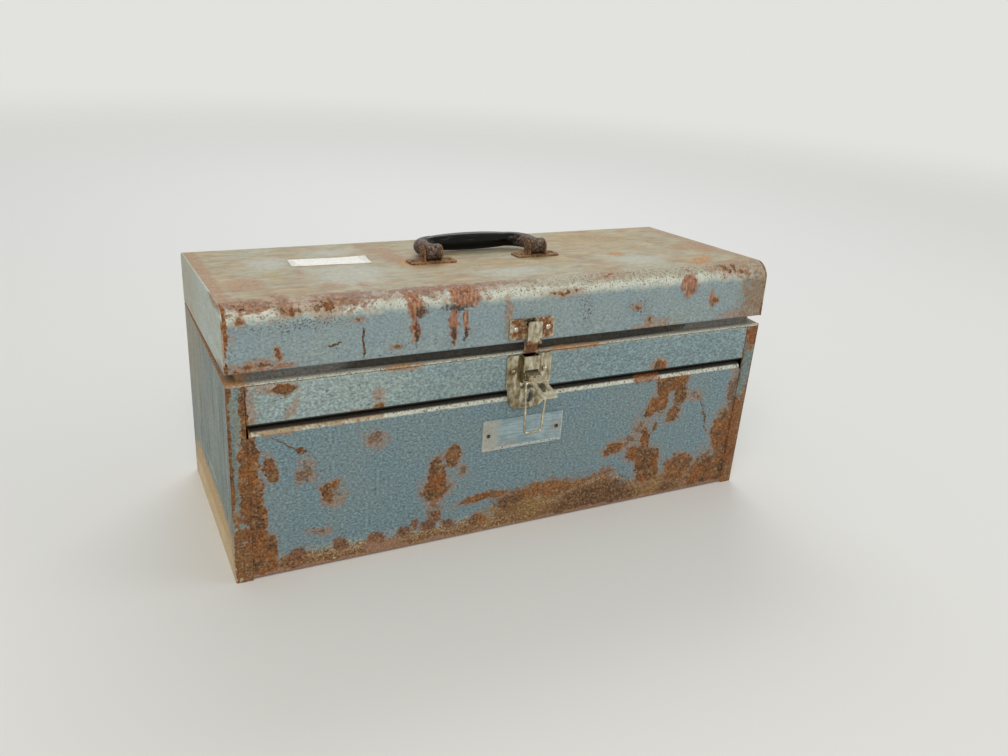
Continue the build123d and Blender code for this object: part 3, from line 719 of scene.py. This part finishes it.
    def dress_ends(self) -> None:
        """Greenish pale enamel caps, rusty along their front fold."""
        fold = bars("y", (-106, -99)) + places(
            "yz", (-108, -70, 176, 190),
        ) + bars("yz", (-96, -50, 229, 242))
        streaks = Grain(9, 0.4, 0.75, 4, (1, 2.4, 1), 17)
        dress(
            "hammered_enamel_ends", "lid_end_left lid_end_right",
            ENAMEL.on(stops=shades("#a9b5ad", 0.1)),
            PALE_BLUE_AND_SHEEN.on(holes=streaks),
            BLEACHED.on(Patch(y=(30, 190)), soft=0.5, breakup=streaks, cover=0.45),
            WASH.on(*fold, soft=0.5, breakup=Grain(5, seed=5), cover=0.75),
            *rusted(bar(y=(-106, -100.6))),
            CHIPS,
            LINING.on(lining=self.middle),
        )

    def dress_rests(self) -> None:
        """Painted rests inside the lid."""
        dress("dark_enamel", "lid_rests", ENAMEL, GRIME_AND_SHADE.on(bar(), cover=0.6))


@dataclass(frozen=True)
class Body:
    """End panels with front posts, lower front panel, back, bottom and the neck under the lid."""

    post: Ends = (-104.0, -100.0)
    lip: Ends = (130.6, 139.0)
    edge: Ends = (173.6, 177.5)
    neck_half: float = 249.0

    def dress_ends(self) -> None:
        """Side sheets streaked blue-grey and green, tan at the foot; posts rusted from below."""
        post = self.post
        foot = bar(y=(-99.5, 98), z=(-20, 46))
        scratch = (Patch(x=(-260, 260), y=(-51, 33), z=(54, 60)),)
        fold = bars("xyz", (-258, -253.6, -104, -97.5, -20, 96)) + bars(
            "x", (-258, -253), (253, 258), y=(-104, -99.2),
        )
        face_rust = bars("x", (-256, -251.6), (-244.6, -238), (252, 256), y=post) + bars(
            "xz", (-256, -238, -12, 62), (238, 256, -10, 104), (238, 241, 20, 150), y=post,
        ) + places("xz", (-248, -238, 50, 128), (240, 256, 152, 182), y=post)
        crumbs = places(
            "xz", (-256, -246, 20, 66), (-252, -238, -6, 34), (246, 256, 40, 112),
            (242, 256, -4, 26), y=post,
        )
        streaks = Grain(7, 0.36, 0.7, 4, (1, 1, 6), 17)
        rubs = Grain(9, 0.46, 0.72, 4, (1, 1, 7), 27)
        dark = Grain(6, 0.5, 0.75, 4, (1, 1, 8), 37)
        dress(
            "hammered_enamel_sides", "end_panel_left end_panel_right",
            ENAMEL.on(stops=shades("#657676", 0.2)),
            CLOUDED.on(stops=shades("#76847a", 0.16), holes=streaks, cover=0.85),
            PALE_BLUE_AND_SHEEN.on(holes=rubs, cover=0.5),
            GRIME_AND_SHADE.on(holes=dark, cover=0.45),
            BLEACHED.on(Patch(y=(20, 190), z=(96, 260)), soft=0.5, breakup=streaks, cover=0.45),
            CRUMBS.on(foot, soft=0.35, stops=shades("#c2a478", 0.13), lift=0.1, cover=0.95),
            BLEACHED.on(
                bar(y=(-90, 98), z=(-6, 22)), soft=0.5, stops=shades("#d0bb93", 0.1), cover=0.75,
            ),
            RUBBED_AND_HIGHLIGHT.on(*scratch, soft=0.4),
            WASH.on(*fold, soft=0.3, breakup=Grain(5, seed=5), cover=0.9),
            *rusted(*face_rust, halo=0.12),
            FOXED.on(
                bar(x=(-256, -238), y=post, z=(-12, 70)), bar(x=(238, 256), y=post, z=(-10, 100)),
                stops=((0.1, "#4a2810"), (0.5, "#7d461c"), (0.9, "#a56a30")),
                holes=Grain(6, 0.34, 0.6, 5, seed=19), soft=0.4, cover=0.8,
            ),
            FOXED.on(Patch(x=(238, 256), y=post, z=(150, 184)), holes=None, soft=0.4, cover=0.45),
            CRUMBS.on(*crumbs, soft=0.4, cover=0.7),
            CHIPS,
        )

    def dress_panel(self) -> None:
        """Bluer lower panel with rust islands, a crumbling foot, a rubbed lip that also carries a
        painted highlight, and painted shade on the lip's top under the drawer.
        """
        lip = seam(z=self.lip)
        left_edge = bars(
            "xz", (-244, -232, -10, 137), (-244, -227.5, -10, 92), (-244, -221, -10, 42),
        ) + places("xz", (-229, -217.5, 89, 110, 15))
        islands = places(
            "xz", (-181.5, -172, 59, 77, 22), (-181, -168, 74, 80.5), (-73.5, -60.5, 75, 96),
            (-88.5, -73, 56, 83.5), (-95, -69, 43, 66), (-56, -12, 33.5, 40.5, 5),
            (89, 111, 57.5, 70, 22), (130, 141, 54, 80), (115, 132, 46.5, 62, 20),
            (143, 147.5, 76, 83.5), (-48, -32, 8, 21),
        ) + bars("xz", (130, 156, 18, 56))
        lip_fall = bars("xz", (141, 177, 114, 138)) + places(
            "xz", (143, 157, 94, 121, -8), (133, 145.5, 91, 112, -15), (165, 178, 97, 124),
            (155, 175, 84, 98, 38),
        )
        right_edge = places(
            "xz", (218, 248, 38, 84), (196, 252, -20, 38), (166, 196, 16, 43),
        ) + bars("xz", (225, 246, -10, 66))
        thin = places(
            "xz", (174, 199, 101, 113.5), (119, 138, 74, 94), (104, 131, 60, 79),
            (-146, -127, 104, 121), (-182, -163, 57, 80), (-195, -173, 30, 38.5),
            (-60, -50, 63, 75), (-89, -75, 22, 46), (-203, -187, 78, 104),
        ) + bars("xz", (230, 246, 60, 132))
        foot = bars("xz", (-256, -10, -12, 15.5), (-26, 114, -44, 39.5), (104, 246, -30, 24))
        blobs = places(
            "xz", (-216, -194, 2, 23), (-174, -161, 11, 25), (-143, -128, 9, 22),
            (-116, -104, 12, 23), (-105, -95, 18, 28), (-94, -82, 12, 26), (-85, -74, 21, 32),
            (-74, -62, 12, 23),
        )
        umber = places("xz", (34, 136, -22, 31), (-20, 8, 14, 40), (154, 190, -10, 14))
        fresh = places(
            "xz", (-6, 78, 24, 43), (78, 108, 29, 43), (-244, -230, 0, 130), (222, 244, 20, 80),
            (170, 192, 22, 42),
        )
        ochre = places("xz", (-6, 40, 8, 25), (134, 166, 4, 30), (-40, -18, 10, 26))
        specks = places(
            "xz", (28, 66, 19, 24.5, 20), (60, 106, 29, 35, 9), (98, 138, 21, 28, -31),
            (18, 28, 21, 28), (-238, -226, 28, 37),
        ) + bars("xz", (-226, -30, 9, 21))
        pinkish = (bar(z=(-2, 4.2)), Patch(x=(-146, -112), z=(2, 13)))
        lines = places(
            "xz", (-222.5, -195, 119.3, 120.9, -33), (203.6, 205.4, 62, 104, 21),
            (-202, -194, 110, 117),
        )
        dashes = Grain(1.6, 0.66, 0.71, 4, (2.4, 1, 1), 33)
        faint = Grain(5, seed=5)
        dress(
            "hammered_enamel_panel", "front_panel",
            ENAMEL.on(stops=shades("#6d8389", 0.22), lift=0.16),
            CLOUDED.on(stops=shades("#778682", 0.18), cover=0.45),
            WASH.on(*thin, soft=0.5, breakup=faint, broken=1.2, cover=0.62),
            RUST.on(*thin, soft=0.2, reach=-0.55, broken=1.5, cover=0.7),
            CRUMBS.on(*foot),
            FOXED.on(*fresh, soft=0.4, holes=Grain(6, 0.3, 0.6, 4, seed=19), cover=0.85),
            RUST.on(*umber, soft=0.35, cover=0.85),
            CRUMBS.on(*ochre, stops=shades("#8d6f42", 0.25), soft=0.6, cover=0.6),
            RUBBED_AND_HIGHLIGHT.on(
                *specks, stops=shades("#b3a486", 0.2), soft=0.6,
                holes=Grain(1.3, 0.5, 0.62, 3, seed=35), cover=0.66,
            ),
            *rusted(*left_edge, halo=0.25),
            *rusted(*right_edge, halo=0.2),
            *rusted(*islands, halo=0.3),
            *rusted(*lip_fall, halo=0.3),
            RUST.on(*blobs, soft=0.3, stops=RED_RUST, cover=0.9),
            RUST.on(*lines, broken=0.2),
            # Cream along the rolled lip: worn primer, and partly a painted highlight where the lip
            # turns up.
            RUBBED_AND_HIGHLIGHT.on(lip, soft=0.35, cover=0.95),
            WASH.on(
                bar(x=(-256, -130), z=(130.5, 140)), stops=shades("#98713a", 0.3), soft=0.4,
                breakup=faint, broken=0.8, cover=0.66,
            ),
            # Painted shade: the lip's top darkened inside the finger gap under the drawer front.
            GRIME_AND_SHADE.on(seam(y=(-99.2, -60), z=(131, 142)), breakup=None, soft=0.1, cover=0.97),
            FOXED.on(
                Patch(x=(112, 142), z=(129, 139)), bar(x=(-244, -236), z=(130, 140)), holes=None,
                cover=0.8,
            ),
            WASH.on(*pinkish, stops=shades("#97745f", 0.2), soft=0.4, cover=0.7),
            CHIPS.on(bar(z=(20, 136)), holes=dashes, soft=0.3, cover=0.7),
            fray=2.5,
        )

    def dress_frame(self) -> None:
        """Shoulder with a cream rubbed edge that is partly a painted highlight; neck darkened brown
        as painted shade under the lid, with some grime.
        """
        edge = seam(y=(-104, -98.4), z=self.edge)
        rusty = places(
            "xy", (-132, -100, -104, -96), (12, 76, -104, -96), (-260, -236, -108, -84),
        ) + bars("x", (-256, -252), (252, 256))
        dress(
            "hammered_enamel_neck", "top_frame",
            ENAMEL, CLOUDED,
            WASH.on(bar(), cover=0.4),
            # Painted shade: the neck under the lid's overhang, darkened dark brown, with some real
            # grime.
            GRIME_AND_SHADE.on(
                seam(x=(-self.neck_half, self.neck_half), y=(-97.4, 97), z=(160, 200)),
                breakup=Grain(20, 0.3, 0.7, 4, (3, 1, 1), 5), broken=0.05, cover=0.66, soft=0.02,
            ),
            # Cream edge of the shoulder: worn primer, and partly a painted highlight.
            RUBBED_AND_HIGHLIGHT.on(edge, soft=0.3, cover=0.8),
            BLOOM.on(*rusty, cover=0.7),
            CHIPS,
            specular=0.15,
        )

    def dress_back(self) -> None:
        """Back and bottom sheets: the same enamel, less bleached, rusted along the floor."""
        rust = bars("z", (-20, 9)) + places(
            "xz", (-230, -150, -12, 30), (60, 190, -12, 24), (120, 140, 60, 84),
        )
        dress(
            "hammered_enamel_back", "back_panel",
            ENAMEL, CLOUDED,
            CRUMBS.on(bar(z=(-24, 20)), soft=0.3),
            *rusted(*rust),
            WASH.on(bar(z=(166, 178)), soft=0.4, cover=0.5),
            CHIPS,
        )
        dress(
            "hammered_enamel_pan", "bottom_pan",
            ENAMEL, CLOUDED,
            RUST.on(bar(z=(-8, 0.6)), cover=0.85),
            RUST.on(bar(), breakup=Grain(30), broken=2.2, reach=-1.0, soft=0.2, cover=0.8),
            CHIPS,
        )


@dataclass(frozen=True)
class Drawer:
    """Drawer front band, tray and slides."""

    gap: Ends = (130.0, 141.6)
    edge: Ends = (172.6, 176.0)

    def dress_front(self) -> None:
        """Speckled blue band, paler to the left, with a rubbed cream top edge that is partly a
        painted highlight, and painted shade along its foot over the finger gap.
        """
        rust = places(
            "xz", (-219.5, -202, 163.5, 173), (-140, -131, 138, 146), (134, 147, 138, 150),
        ) + bars("x", (-244, -238.8), (238.9, 244))
        stains = places(
            "xz", (-208, -202, 140, 162, -28), (-141, -129, 147, 159), (134, 148, 139, 153),
            (-166, -146, 138, 143), (-234, -216, 166, 172), (-244, -232, 136, 176),
        )
        pale = (Patch(x=(-246, -96), z=(130, 190)),)
        edge = seam(z=self.edge)
        tan = places("xz", (-132, -100, 171, 178), (13, 76, 171.4, 178), (-246, -216, 172, 178))
        dress(
            "hammered_enamel_drawer", "drawer_front",
            ENAMEL.on(stops=shades("#778c90", 0.2), lift=0.16),
            ENAMEL.on(*pale, stops=shades("#92a29f", 0.18), soft=0.5, cover=0.85),
            CLOUDED.on(cover=0.4),
            WASH.on(*stains, soft=0.5, breakup=Grain(4, seed=5), broken=0.8, cover=0.62),
            *rusted(*rust, halo=0.4),
            # Cream top edge: worn primer, and partly a painted highlight on the rounded hem.
            RUBBED_AND_HIGHLIGHT.on(edge, soft=0.5, cover=0.85),
            WASH.on(*tan, soft=0.4, breakup=Grain(4, seed=5), cover=0.75),
            # Painted shade: the band's foot darkened over the finger gap.
            GRIME_AND_SHADE.on(seam(z=self.gap), breakup=None, soft=0.12, cover=0.97),
            CHIPS,
        )

    def dress_inside(self) -> None:
        """Tray in cleaner enamel; slides and guides of zinc-washed steel."""
        dress(
            "hammered_enamel_tray", "drawer_tray",
            ENAMEL,
            CLOUDED.on(cover=0.4),
            WASH.on(bar(z=(170, 176)), soft=0.3, cover=0.6),
            RUST.on(bar(), breakup=Grain(26, seed=2), broken=2.4, reach=-1.4, soft=0.15, cover=0.7),
            CHIPS,
        )
        dress(
            "zinc_washed_steel",
            "slide_bar_left slide_bar_right rail_left rail_right "
            "guide_left guide_right rail_stops stop_tabs",
            ZINC,
            WASH.on(holes=Grain(14, 0.5, 0.75, 4), cover=0.8),
            RUST.on(bar(), breakup=Grain(9), broken=2.6, reach=-1.3, soft=0.2, cover=0.8),
            wave=0.05,
        )


@dataclass(frozen=True)
class Hinge:
    """Piano hinge along the back."""

    axis_height: float = 175.5
    knuckle_half: float = 3.6
    behind: Ends = (98.0, 110.0)

    def dress_leaves(self) -> None:
        """Dull rolled steel, rust in the gaps between knuckles."""
        low, high = self.axis_height - self.knuckle_half, self.axis_height + self.knuckle_half
        knuckle = bar(y=self.behind, z=(low, high))
        steel = (
            ZINC.on(roughness=0.5),
            WASH.on(holes=Grain(10, 0.42, 0.7, 4, seed=2), cover=0.85),
            RUST.on(knuckle, breakup=Grain(7), broken=1.6, cover=0.9),
            RUST.on(bar(), breakup=Grain(16), broken=2.2, reach=-1.1, soft=0.2, cover=0.9),
        )
        for name, nodes in (
            ("dull_rolled_steel", "hinge_leaf_body hinge_leaf_lid hinge_pin"),
            ("dull_steel_rivets", "hinge_rivets_body hinge_rivets_lid"),
        ):
            dress(name, nodes, *steel, wave=0.05)


@dataclass(frozen=True)
class Latch:
    """Draw latch on the drawer front, its keeper on the lid, and the bare name plate."""

    channel_fold: Ends = (7.2, 11.5)
    lever_root: Ends = (-115.0, -96.0)
    plate_foot: Ends = (84.0, 86.7)
    plate_top: Ends = (114.4, 118.0)
    plate_end: Ends = (38.7, 42.0)

    def dress_base(self) -> None:
        """Hazy nickel with brown tarnish towards its foot and folds, and painted shade behind the
        lever.
        """
        inner, outer = self.channel_fold
        folds = bars(
            "x", (-outer, -inner), (inner, outer), z=(118, 176),
        ) + places("xz", (-23, -6, 116, 132), (-22, -14, 150, 160))
        # Painted shade: dark patches on the base behind the lever's window and beside the channel.
        shaded = places("xz", (0.5, 6.6, 126.5, 139), (-6.6, 6.6, 140, 146), (10, 19, 130, 146))
        brown = ((0.1, "#4c4128"), (0.5, "#7a6a45"), (0.9, "#a3946b"))
        dress(
            "worn_nickel_base", "latch_base latch_rivets",
            NICKEL,
            NICKEL.on(*folds, stops=brown, roughness=0.42, soft=0.5, breakup=Grain(3.5), cover=0.7),
            NICKEL.on(
                stops=brown, roughness=0.45, holes=Grain(5, 0.54, 0.74, 5, seed=4), cover=0.5,
            ),
            WASH.on(holes=Grain(1.6, 0.66, 0.72, 3, seed=6), cover=0.8),
            GRIME_AND_SHADE.on(*shaded, breakup=Grain(3, 0.3, 0.7, 4, seed=8), soft=0.3, cover=0.85),
            fray=0.7, wave=0.05,
        )

    def dress_lever(self) -> None:
        """Nickel on the lever and bail, hazed over and tarnished in the corners; the lever's is
        painted lighter and less metallic, as painted light on a face turned up.
        """
        dress(
            "lever_nickel_painted_lighter", "latch_lever lever_pin",
            # Painted light: the lever's nickel lightened and made less metallic where it faces up.
            NICKEL.on(stops=shades("#d2cab0", 0.16), metallic=0.65, roughness=0.34),
            NICKEL.on(
                bar(y=self.lever_root), stops=shades("#5d5136", 0.3), roughness=0.46, soft=0.4,
                breakup=Grain(2.4, 0.3, 0.7, 4, seed=2), broken=1.2, cover=0.75,
            ),
            WASH.on(holes=Grain(2.4, 0.6, 0.72, 4, seed=6), cover=0.7),
            fray=0.5, wave=0.02,
        )
        dress(
            "worn_nickel_wire", "bail",
            NICKEL.on(stops=shades("#bdb49b", 0.26), roughness=0.26),
            WASH.on(holes=Grain(3, 0.52, 0.66, 4, seed=7), cover=0.7),
            wave=0.0,
        )

    def dress_keeper(self) -> None:
        """Nickel eaten by brown rust on the lugs, hazy and pale on the hook's face."""
        lugs = places("xyz", (-20, -5.5, -104.6, -96, 182, 210)) + bars(
            "xyz", (6, 20.6, -104.6, -96, 187.6, 205.4),
        ) + bars("xz", (-9, 9, 160, 187))
        eaten = Grain(4, 0.3, 0.7, 4, seed=14)
        dress(
            "rust_eaten_nickel", "keeper",
            NICKEL,
            WASH.on(*lugs, breakup=eaten, broken=1.0, soft=0.35, cover=0.85),
            RUST.on(*lugs, breakup=eaten, broken=1.6, reach=-0.2, cover=0.9, soft=0.2),
            FOXED.on(
                *lugs, breakup=eaten, broken=1.4, reach=-0.15, stops=shades("#8a5020", 0.34),
                holes=Grain(3, 0.4, 0.58, 4, seed=3), cover=0.85,
            ),
            NICKEL.on(
                stops=shades("#4c4128", 0.4), roughness=0.5, holes=Grain(2.4, 0.6, 0.72, 5, seed=4),
                cover=0.5,
            ),
            fray=0.7, wave=0.02,
        )
        dress(
            "worn_nickel_rivets", "keeper_rivets",
            NICKEL.on(stops=shades("#c9c4b4", 0.14)),
            WASH.on(holes=Grain(2, 0.54, 0.7, 4, seed=8), cover=0.75),
            wave=0.0,
        )

    def dress_plate(self) -> None:
        """Satin aluminium plate, bare and dulled, with a stained left end and painted highlights
        along its rims; dark rivet heads.
        """
        stain = places(
            "xz", (-44, -26, 80, 118), (-40, -28, 92, 105), (28, 40, 92, 105), (-30, -8, 84, 92),
        )
        dull = Grain(11, 0.4, 0.66, 4, seed=41)
        dress(
            "satin_aluminium", "name_plate",
            ALUMINIUM,
            ALUMINIUM.on(stops=shades("#8ea5ad", 0.14), roughness=0.5, holes=dull, cover=0.8),
            WASH.on(*stain, soft=0.6, breakup=Grain(4), holes=Grain(2, 0.3, 0.66), cover=0.6),
            CHIPS.on(holes=Grain(1.2, 0.64, 0.7, 2), cover=0.6),
            # Painted highlight: bright lines along the plate's foot, top and right end.
            RUBBED_AND_HIGHLIGHT.on(
                seam(z=self.plate_foot), seam(z=self.plate_top), seam(x=self.plate_end), soft=0.2,
                cover=0.65,
            ),
            RUBBED_AND_HIGHLIGHT.on(Patch(x=(-46, -24)), soft=0.5, stops=shades("#aaa898", 0.12), cover=0.6),
            fray=0.6, wave=0.06,
        )
        dark = ((0.1, "#1d1610"), (0.5, "#3f2f22"), (0.95, "#6b543c"))
        dress(
            "rusty_steel_rivets", "plate_rivets",
            RUST.on(stops=dark, breakup=None, lift=0.15),
            wave=0.0,
        )


@dataclass(frozen=True)
class Handle:
    """Folding grip between two riveted brackets."""

    pivot_half: float = 52.75
    pivot_y: float = -0.85
    worn_half: float = 15.0
    worn_back: float = 12.0
    worn_reach: float = 27.0

    def dress_grip(self) -> None:
        """Glossy black grip, worn to brown at the bends and bosses."""
        ends = [
            Patch(
                x=(middle - self.worn_half, middle + self.worn_half),
                y=(self.pivot_y - self.worn_back, self.pivot_y + self.worn_reach),
            )
            for middle in (-self.pivot_half, self.pivot_half)
        ]
        scuffs = Grain(3, 0.62, 0.74, 4, (6, 1, 1), 6)
        dress(
            "polished_black_grip", "handle",
            GRIP,
            GRIP_WORN.on(holes=scuffs, cover=0.3),
            GRIP_WORN.on(*ends),
            fray=1.0, wave=0.0, specular=0.16,
        )

    def dress_brackets(self) -> None:
        """Brackets and rivets gone to orange rust; pins dark brown."""
        dress(
            "rusted_bracket_steel", "handle_bracket_left handle_bracket_right handle_rivets",
            RUST.on(breakup=None, lift=0.25),
            BLOOM.on(holes=Grain(5, 0.44, 0.66, 4, seed=9), cover=0.5),
            DUSTED.on(bar(), holes=Grain(4, 0.44, 0.6, 5, seed=29), cover=0.6),
            wave=0.0,
        )
        dress(
            "worn_pin_steel", "handle_pins",
            GRIP_WORN.on(breakup=None, metallic=0.5),
            WASH.on(holes=Grain(3, 0.4, 0.7), cover=0.7),
            wave=0.0,
        )


@dataclass(frozen=True)
class PaperLabel:
    """Bare paper label lying on the lid, one corner lifting."""

    length: float = 70.5
    width: float = 27.0
    thick: float = 0.14
    middle: tuple[float, float] = (-138.6, 25.7)
    turn: float = -4.5
    lid_front_top: float = 236.3
    lid_slope: float = 0.07044
    lid_front: float = -101.5
    lift: float = 1.1
    gap: float = 0.08
    crease: float = 0.55
    ripple: float = 0.05
    columns: int = 48
    rows: int = 20

    def build(self) -> bpy.types.Object:
        """Builds the sheet on a grid of u, v from -1 to 1.

        The place is the middle plus the half sizes times u and v, turned in the lid's plane; the
        height is the lid's slope plus the gap, plus the lift times the square of how far the point
        lies past the crease towards the lifting corner, plus a ripple a tenth of a millimetre high.

        Returns:
            The label, one sheet with its thickness from Solidify.
        """
        u, v = np.meshgrid(np.linspace(-1, 1, self.columns), np.linspace(-1, 1, self.rows))
        angle = radians(self.turn)
        along, across = u * self.length / 2, v * self.width / 2
        x = self.middle[0] + along * np.cos(angle) - across * np.sin(angle)
        y = self.middle[1] + along * np.sin(angle) + across * np.cos(angle)
        corner = np.clip(0.5 * (u + v) - self.crease, 0, None) / (1 - self.crease)
        ripple = self.ripple * (1 + np.sin(5.0 * u + 2.0 * v) * np.cos(3.0 * v))
        z = self.lid_front_top - self.lid_slope * (y - self.lid_front)
        z = z + self.gap + self.lift * corner**2 + ripple
        points = np.stack([x, y, z], axis=-1).reshape(-1, 3) * MM
        index = np.arange(points.shape[0]).reshape(self.rows, self.columns)
        corners = (index[:-1, :-1], index[:-1, 1:], index[1:, 1:], index[1:, :-1])
        faces = np.stack(corners, axis=-1).reshape(-1, 4)
        mesh = bpy.data.meshes.new("paper_label")
        mesh.from_pydata(points.tolist(), [], faces.tolist())
        mesh.polygons.foreach_set("use_smooth", np.ones(len(faces), bool))
        label = stand("paper_label", mesh)
        wall = label.modifiers.new("thickness", "SOLIDIFY")
        wall.thickness, wall.offset = self.thick * MM, 1.0
        return label

    def dress(self, label: bpy.types.Object) -> None:
        """Soiled white paper, riding the lid.

        Args:
            label: the sheet.
        """
        grey = ((0.1, "#a59d89"), (0.9, "#cfc9ba"))
        rims = bars("x", (-176, -168), (-110, -100))
        smudges = PAPER.on(*rims, stops=grey, soft=0.6, breakup=Grain(5), cover=0.35)
        label.data.materials.append(Finish("plain_paper", (PAPER, smudges), wave=0.0).make())
        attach(label, "lid")
        LOG.info("paper label on the lid")


@dataclass(frozen=True)
class Lamp:
    """A soft rectangular light."""

    name: str
    place: tuple[float, float, float]
    size: tuple[float, float]
    watts: float
    colour: str = "#ffffff"


@dataclass(frozen=True)
class Studio:
    """Pale floor, soft light and the camera."""

    floor_radius: float = 3.6
    floor_sides: int = 96
    floor_fade: Ends = (750.0, 3456.0)
    floor_colour: str = "#dadad6"
    sky: float = 0.62
    sky_colour: str = "#e2e2de"
    aim: tuple[float, float, float] = (0.0, 0.0, 0.11)
    lens: float = 32.04
    sensor: float = 36.0
    eye: tuple[float, float, float] = (-0.3503, -0.7267, 0.4556)
    right: tuple[float, float, float] = (0.8969, -0.4371, 0.0669)
    up: tuple[float, float, float] = (0.1177, 0.3819, 0.9167)
    ahead: tuple[float, float, float] = (0.4262, 0.8143, -0.3939)
    lamps: tuple[Lamp, ...] = (
        Lamp("key", (-0.9, -1.5, 1.9), (1.4, 1.4), 26.0, "#fffaf2"),
        Lamp("back", (0.6, 1.6, 1.8), (1.8, 0.9), 22.0, "#f4f8ff"),
        Lamp("fill", (1.9, -0.9, 1.1), (1.2, 1.2), 8.0),
    )

    def build_floor(self) -> None:
        """Builds a disc with its rim at the radius times the cosine and sine of each angle; the
        colour melts into the background before the rim."""
        turn = np.linspace(0, 2 * np.pi, self.floor_sides + 1)[:-1]
        rim = np.stack([np.cos(turn), np.sin(turn), 0 * turn], axis=-1) * self.floor_radius
        mesh = bpy.data.meshes.new("floor")
        mesh.from_pydata(rim.tolist(), [], [list(range(len(turn)))])
        floor = stand("floor", mesh)
        canvas = Canvas("matt_studio_floor", 0.0)
        away = canvas.put("VectorMath", {0: canvas.place}, out="Value", operation="LENGTH")
        clear_to, gone_at = self.floor_fade
        fade = canvas.put(
            "MapRange", {"Value": away, "From Min": clear_to, "From Max": gone_at},
            interpolation_type="SMOOTHSTEP",
        )
        painted_sheen = canvas.put(
            "BsdfPrincipled", {"Base Color": linear(self.floor_colour), "Roughness": 0.85},
        )
        clear = canvas.put("BsdfTransparent")
        mixed = canvas.put("MixShader", {0: fade, 1: painted_sheen, 2: clear})
        canvas.put("OutputMaterial", {"Surface": mixed})
        mesh.materials.append(canvas.material)
        LOG.info("floor")

    def build_sky(self) -> None:
        """A soft white surround: even light, and near white to the camera and in gloss."""
        world = bpy.data.worlds.new("soft_surround")
        bpy.context.scene.world = world
        sky = Tree(world)
        seen = sky.put("LightPath", out="Is Camera Ray")
        for ray in ("Is Transmission Ray", "Is Glossy Ray"):
            path = sky.put("LightPath", out=ray)
            seen = sky.put("Math", {0: seen, 1: path}, operation="MAXIMUM")
        lit = sky.put("Background", {"Strength": self.sky})
        shown = sky.put("Background", {"Color": linear(self.sky_colour)})
        mixed = sky.put("MixShader", {0: seen, 1: lit, 2: shown})
        sky.put("OutputWorld", {"Surface": mixed})
        LOG.info("surround")

    def hang_lamps(self) -> None:
        """Hangs each lamp facing the middle of the box."""
        aim = Vector(self.aim)
        for lamp in self.lamps:
            data = bpy.data.lights.new(lamp.name, "AREA")
            data.shape, data.energy = "RECTANGLE", lamp.watts
            data.size, data.size_y = lamp.size
            data.color = linear(lamp.colour)[:3]
            holder = stand(lamp.name, data)
            holder.location = lamp.place
            holder.rotation_euler = (aim - holder.location).to_track_quat("-Z", "Y").to_euler()
            LOG.info("lamp %s", lamp.name)

    def place_camera(self) -> None:
        """Stands the camera where the photograph was taken."""
        data = bpy.data.cameras.new("camera")
        data.lens, data.sensor_width = self.lens, self.sensor
        camera = stand("camera", data)
        turned = Matrix((self.right, self.up, -Vector(self.ahead))).transposed().to_4x4()
        camera.matrix_world = Matrix.Translation(self.eye) @ turned
        bpy.context.scene.camera = camera
        LOG.info("camera")


def main() -> None:
    """Dresses the box piece by piece, then builds the studio round it."""
    logging.basicConfig(level=logging.INFO, format="%(name)s: %(message)s")
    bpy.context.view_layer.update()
    lid = Lid()
    lid.dress_shell()
    lid.dress_ends()
    lid.dress_rests()
    body = Body()
    body.dress_ends()
    body.dress_panel()
    body.dress_frame()
    body.dress_back()
    drawer = Drawer()
    drawer.dress_front()
    drawer.dress_inside()
    Hinge().dress_leaves()
    latch = Latch()
    latch.dress_base()
    latch.dress_lever()
    latch.dress_keeper()
    latch.dress_plate()
    handle = Handle()
    handle.dress_grip()
    handle.dress_brackets()
    label = PaperLabel()
    label.dress(label.build())
    studio = Studio()
    studio.build_floor()
    studio.build_sky()
    studio.hang_lamps()
    studio.place_camera()
    bpy.context.scene.view_settings.view_transform = "Standard"


if __name__ == "__main__":
    main()
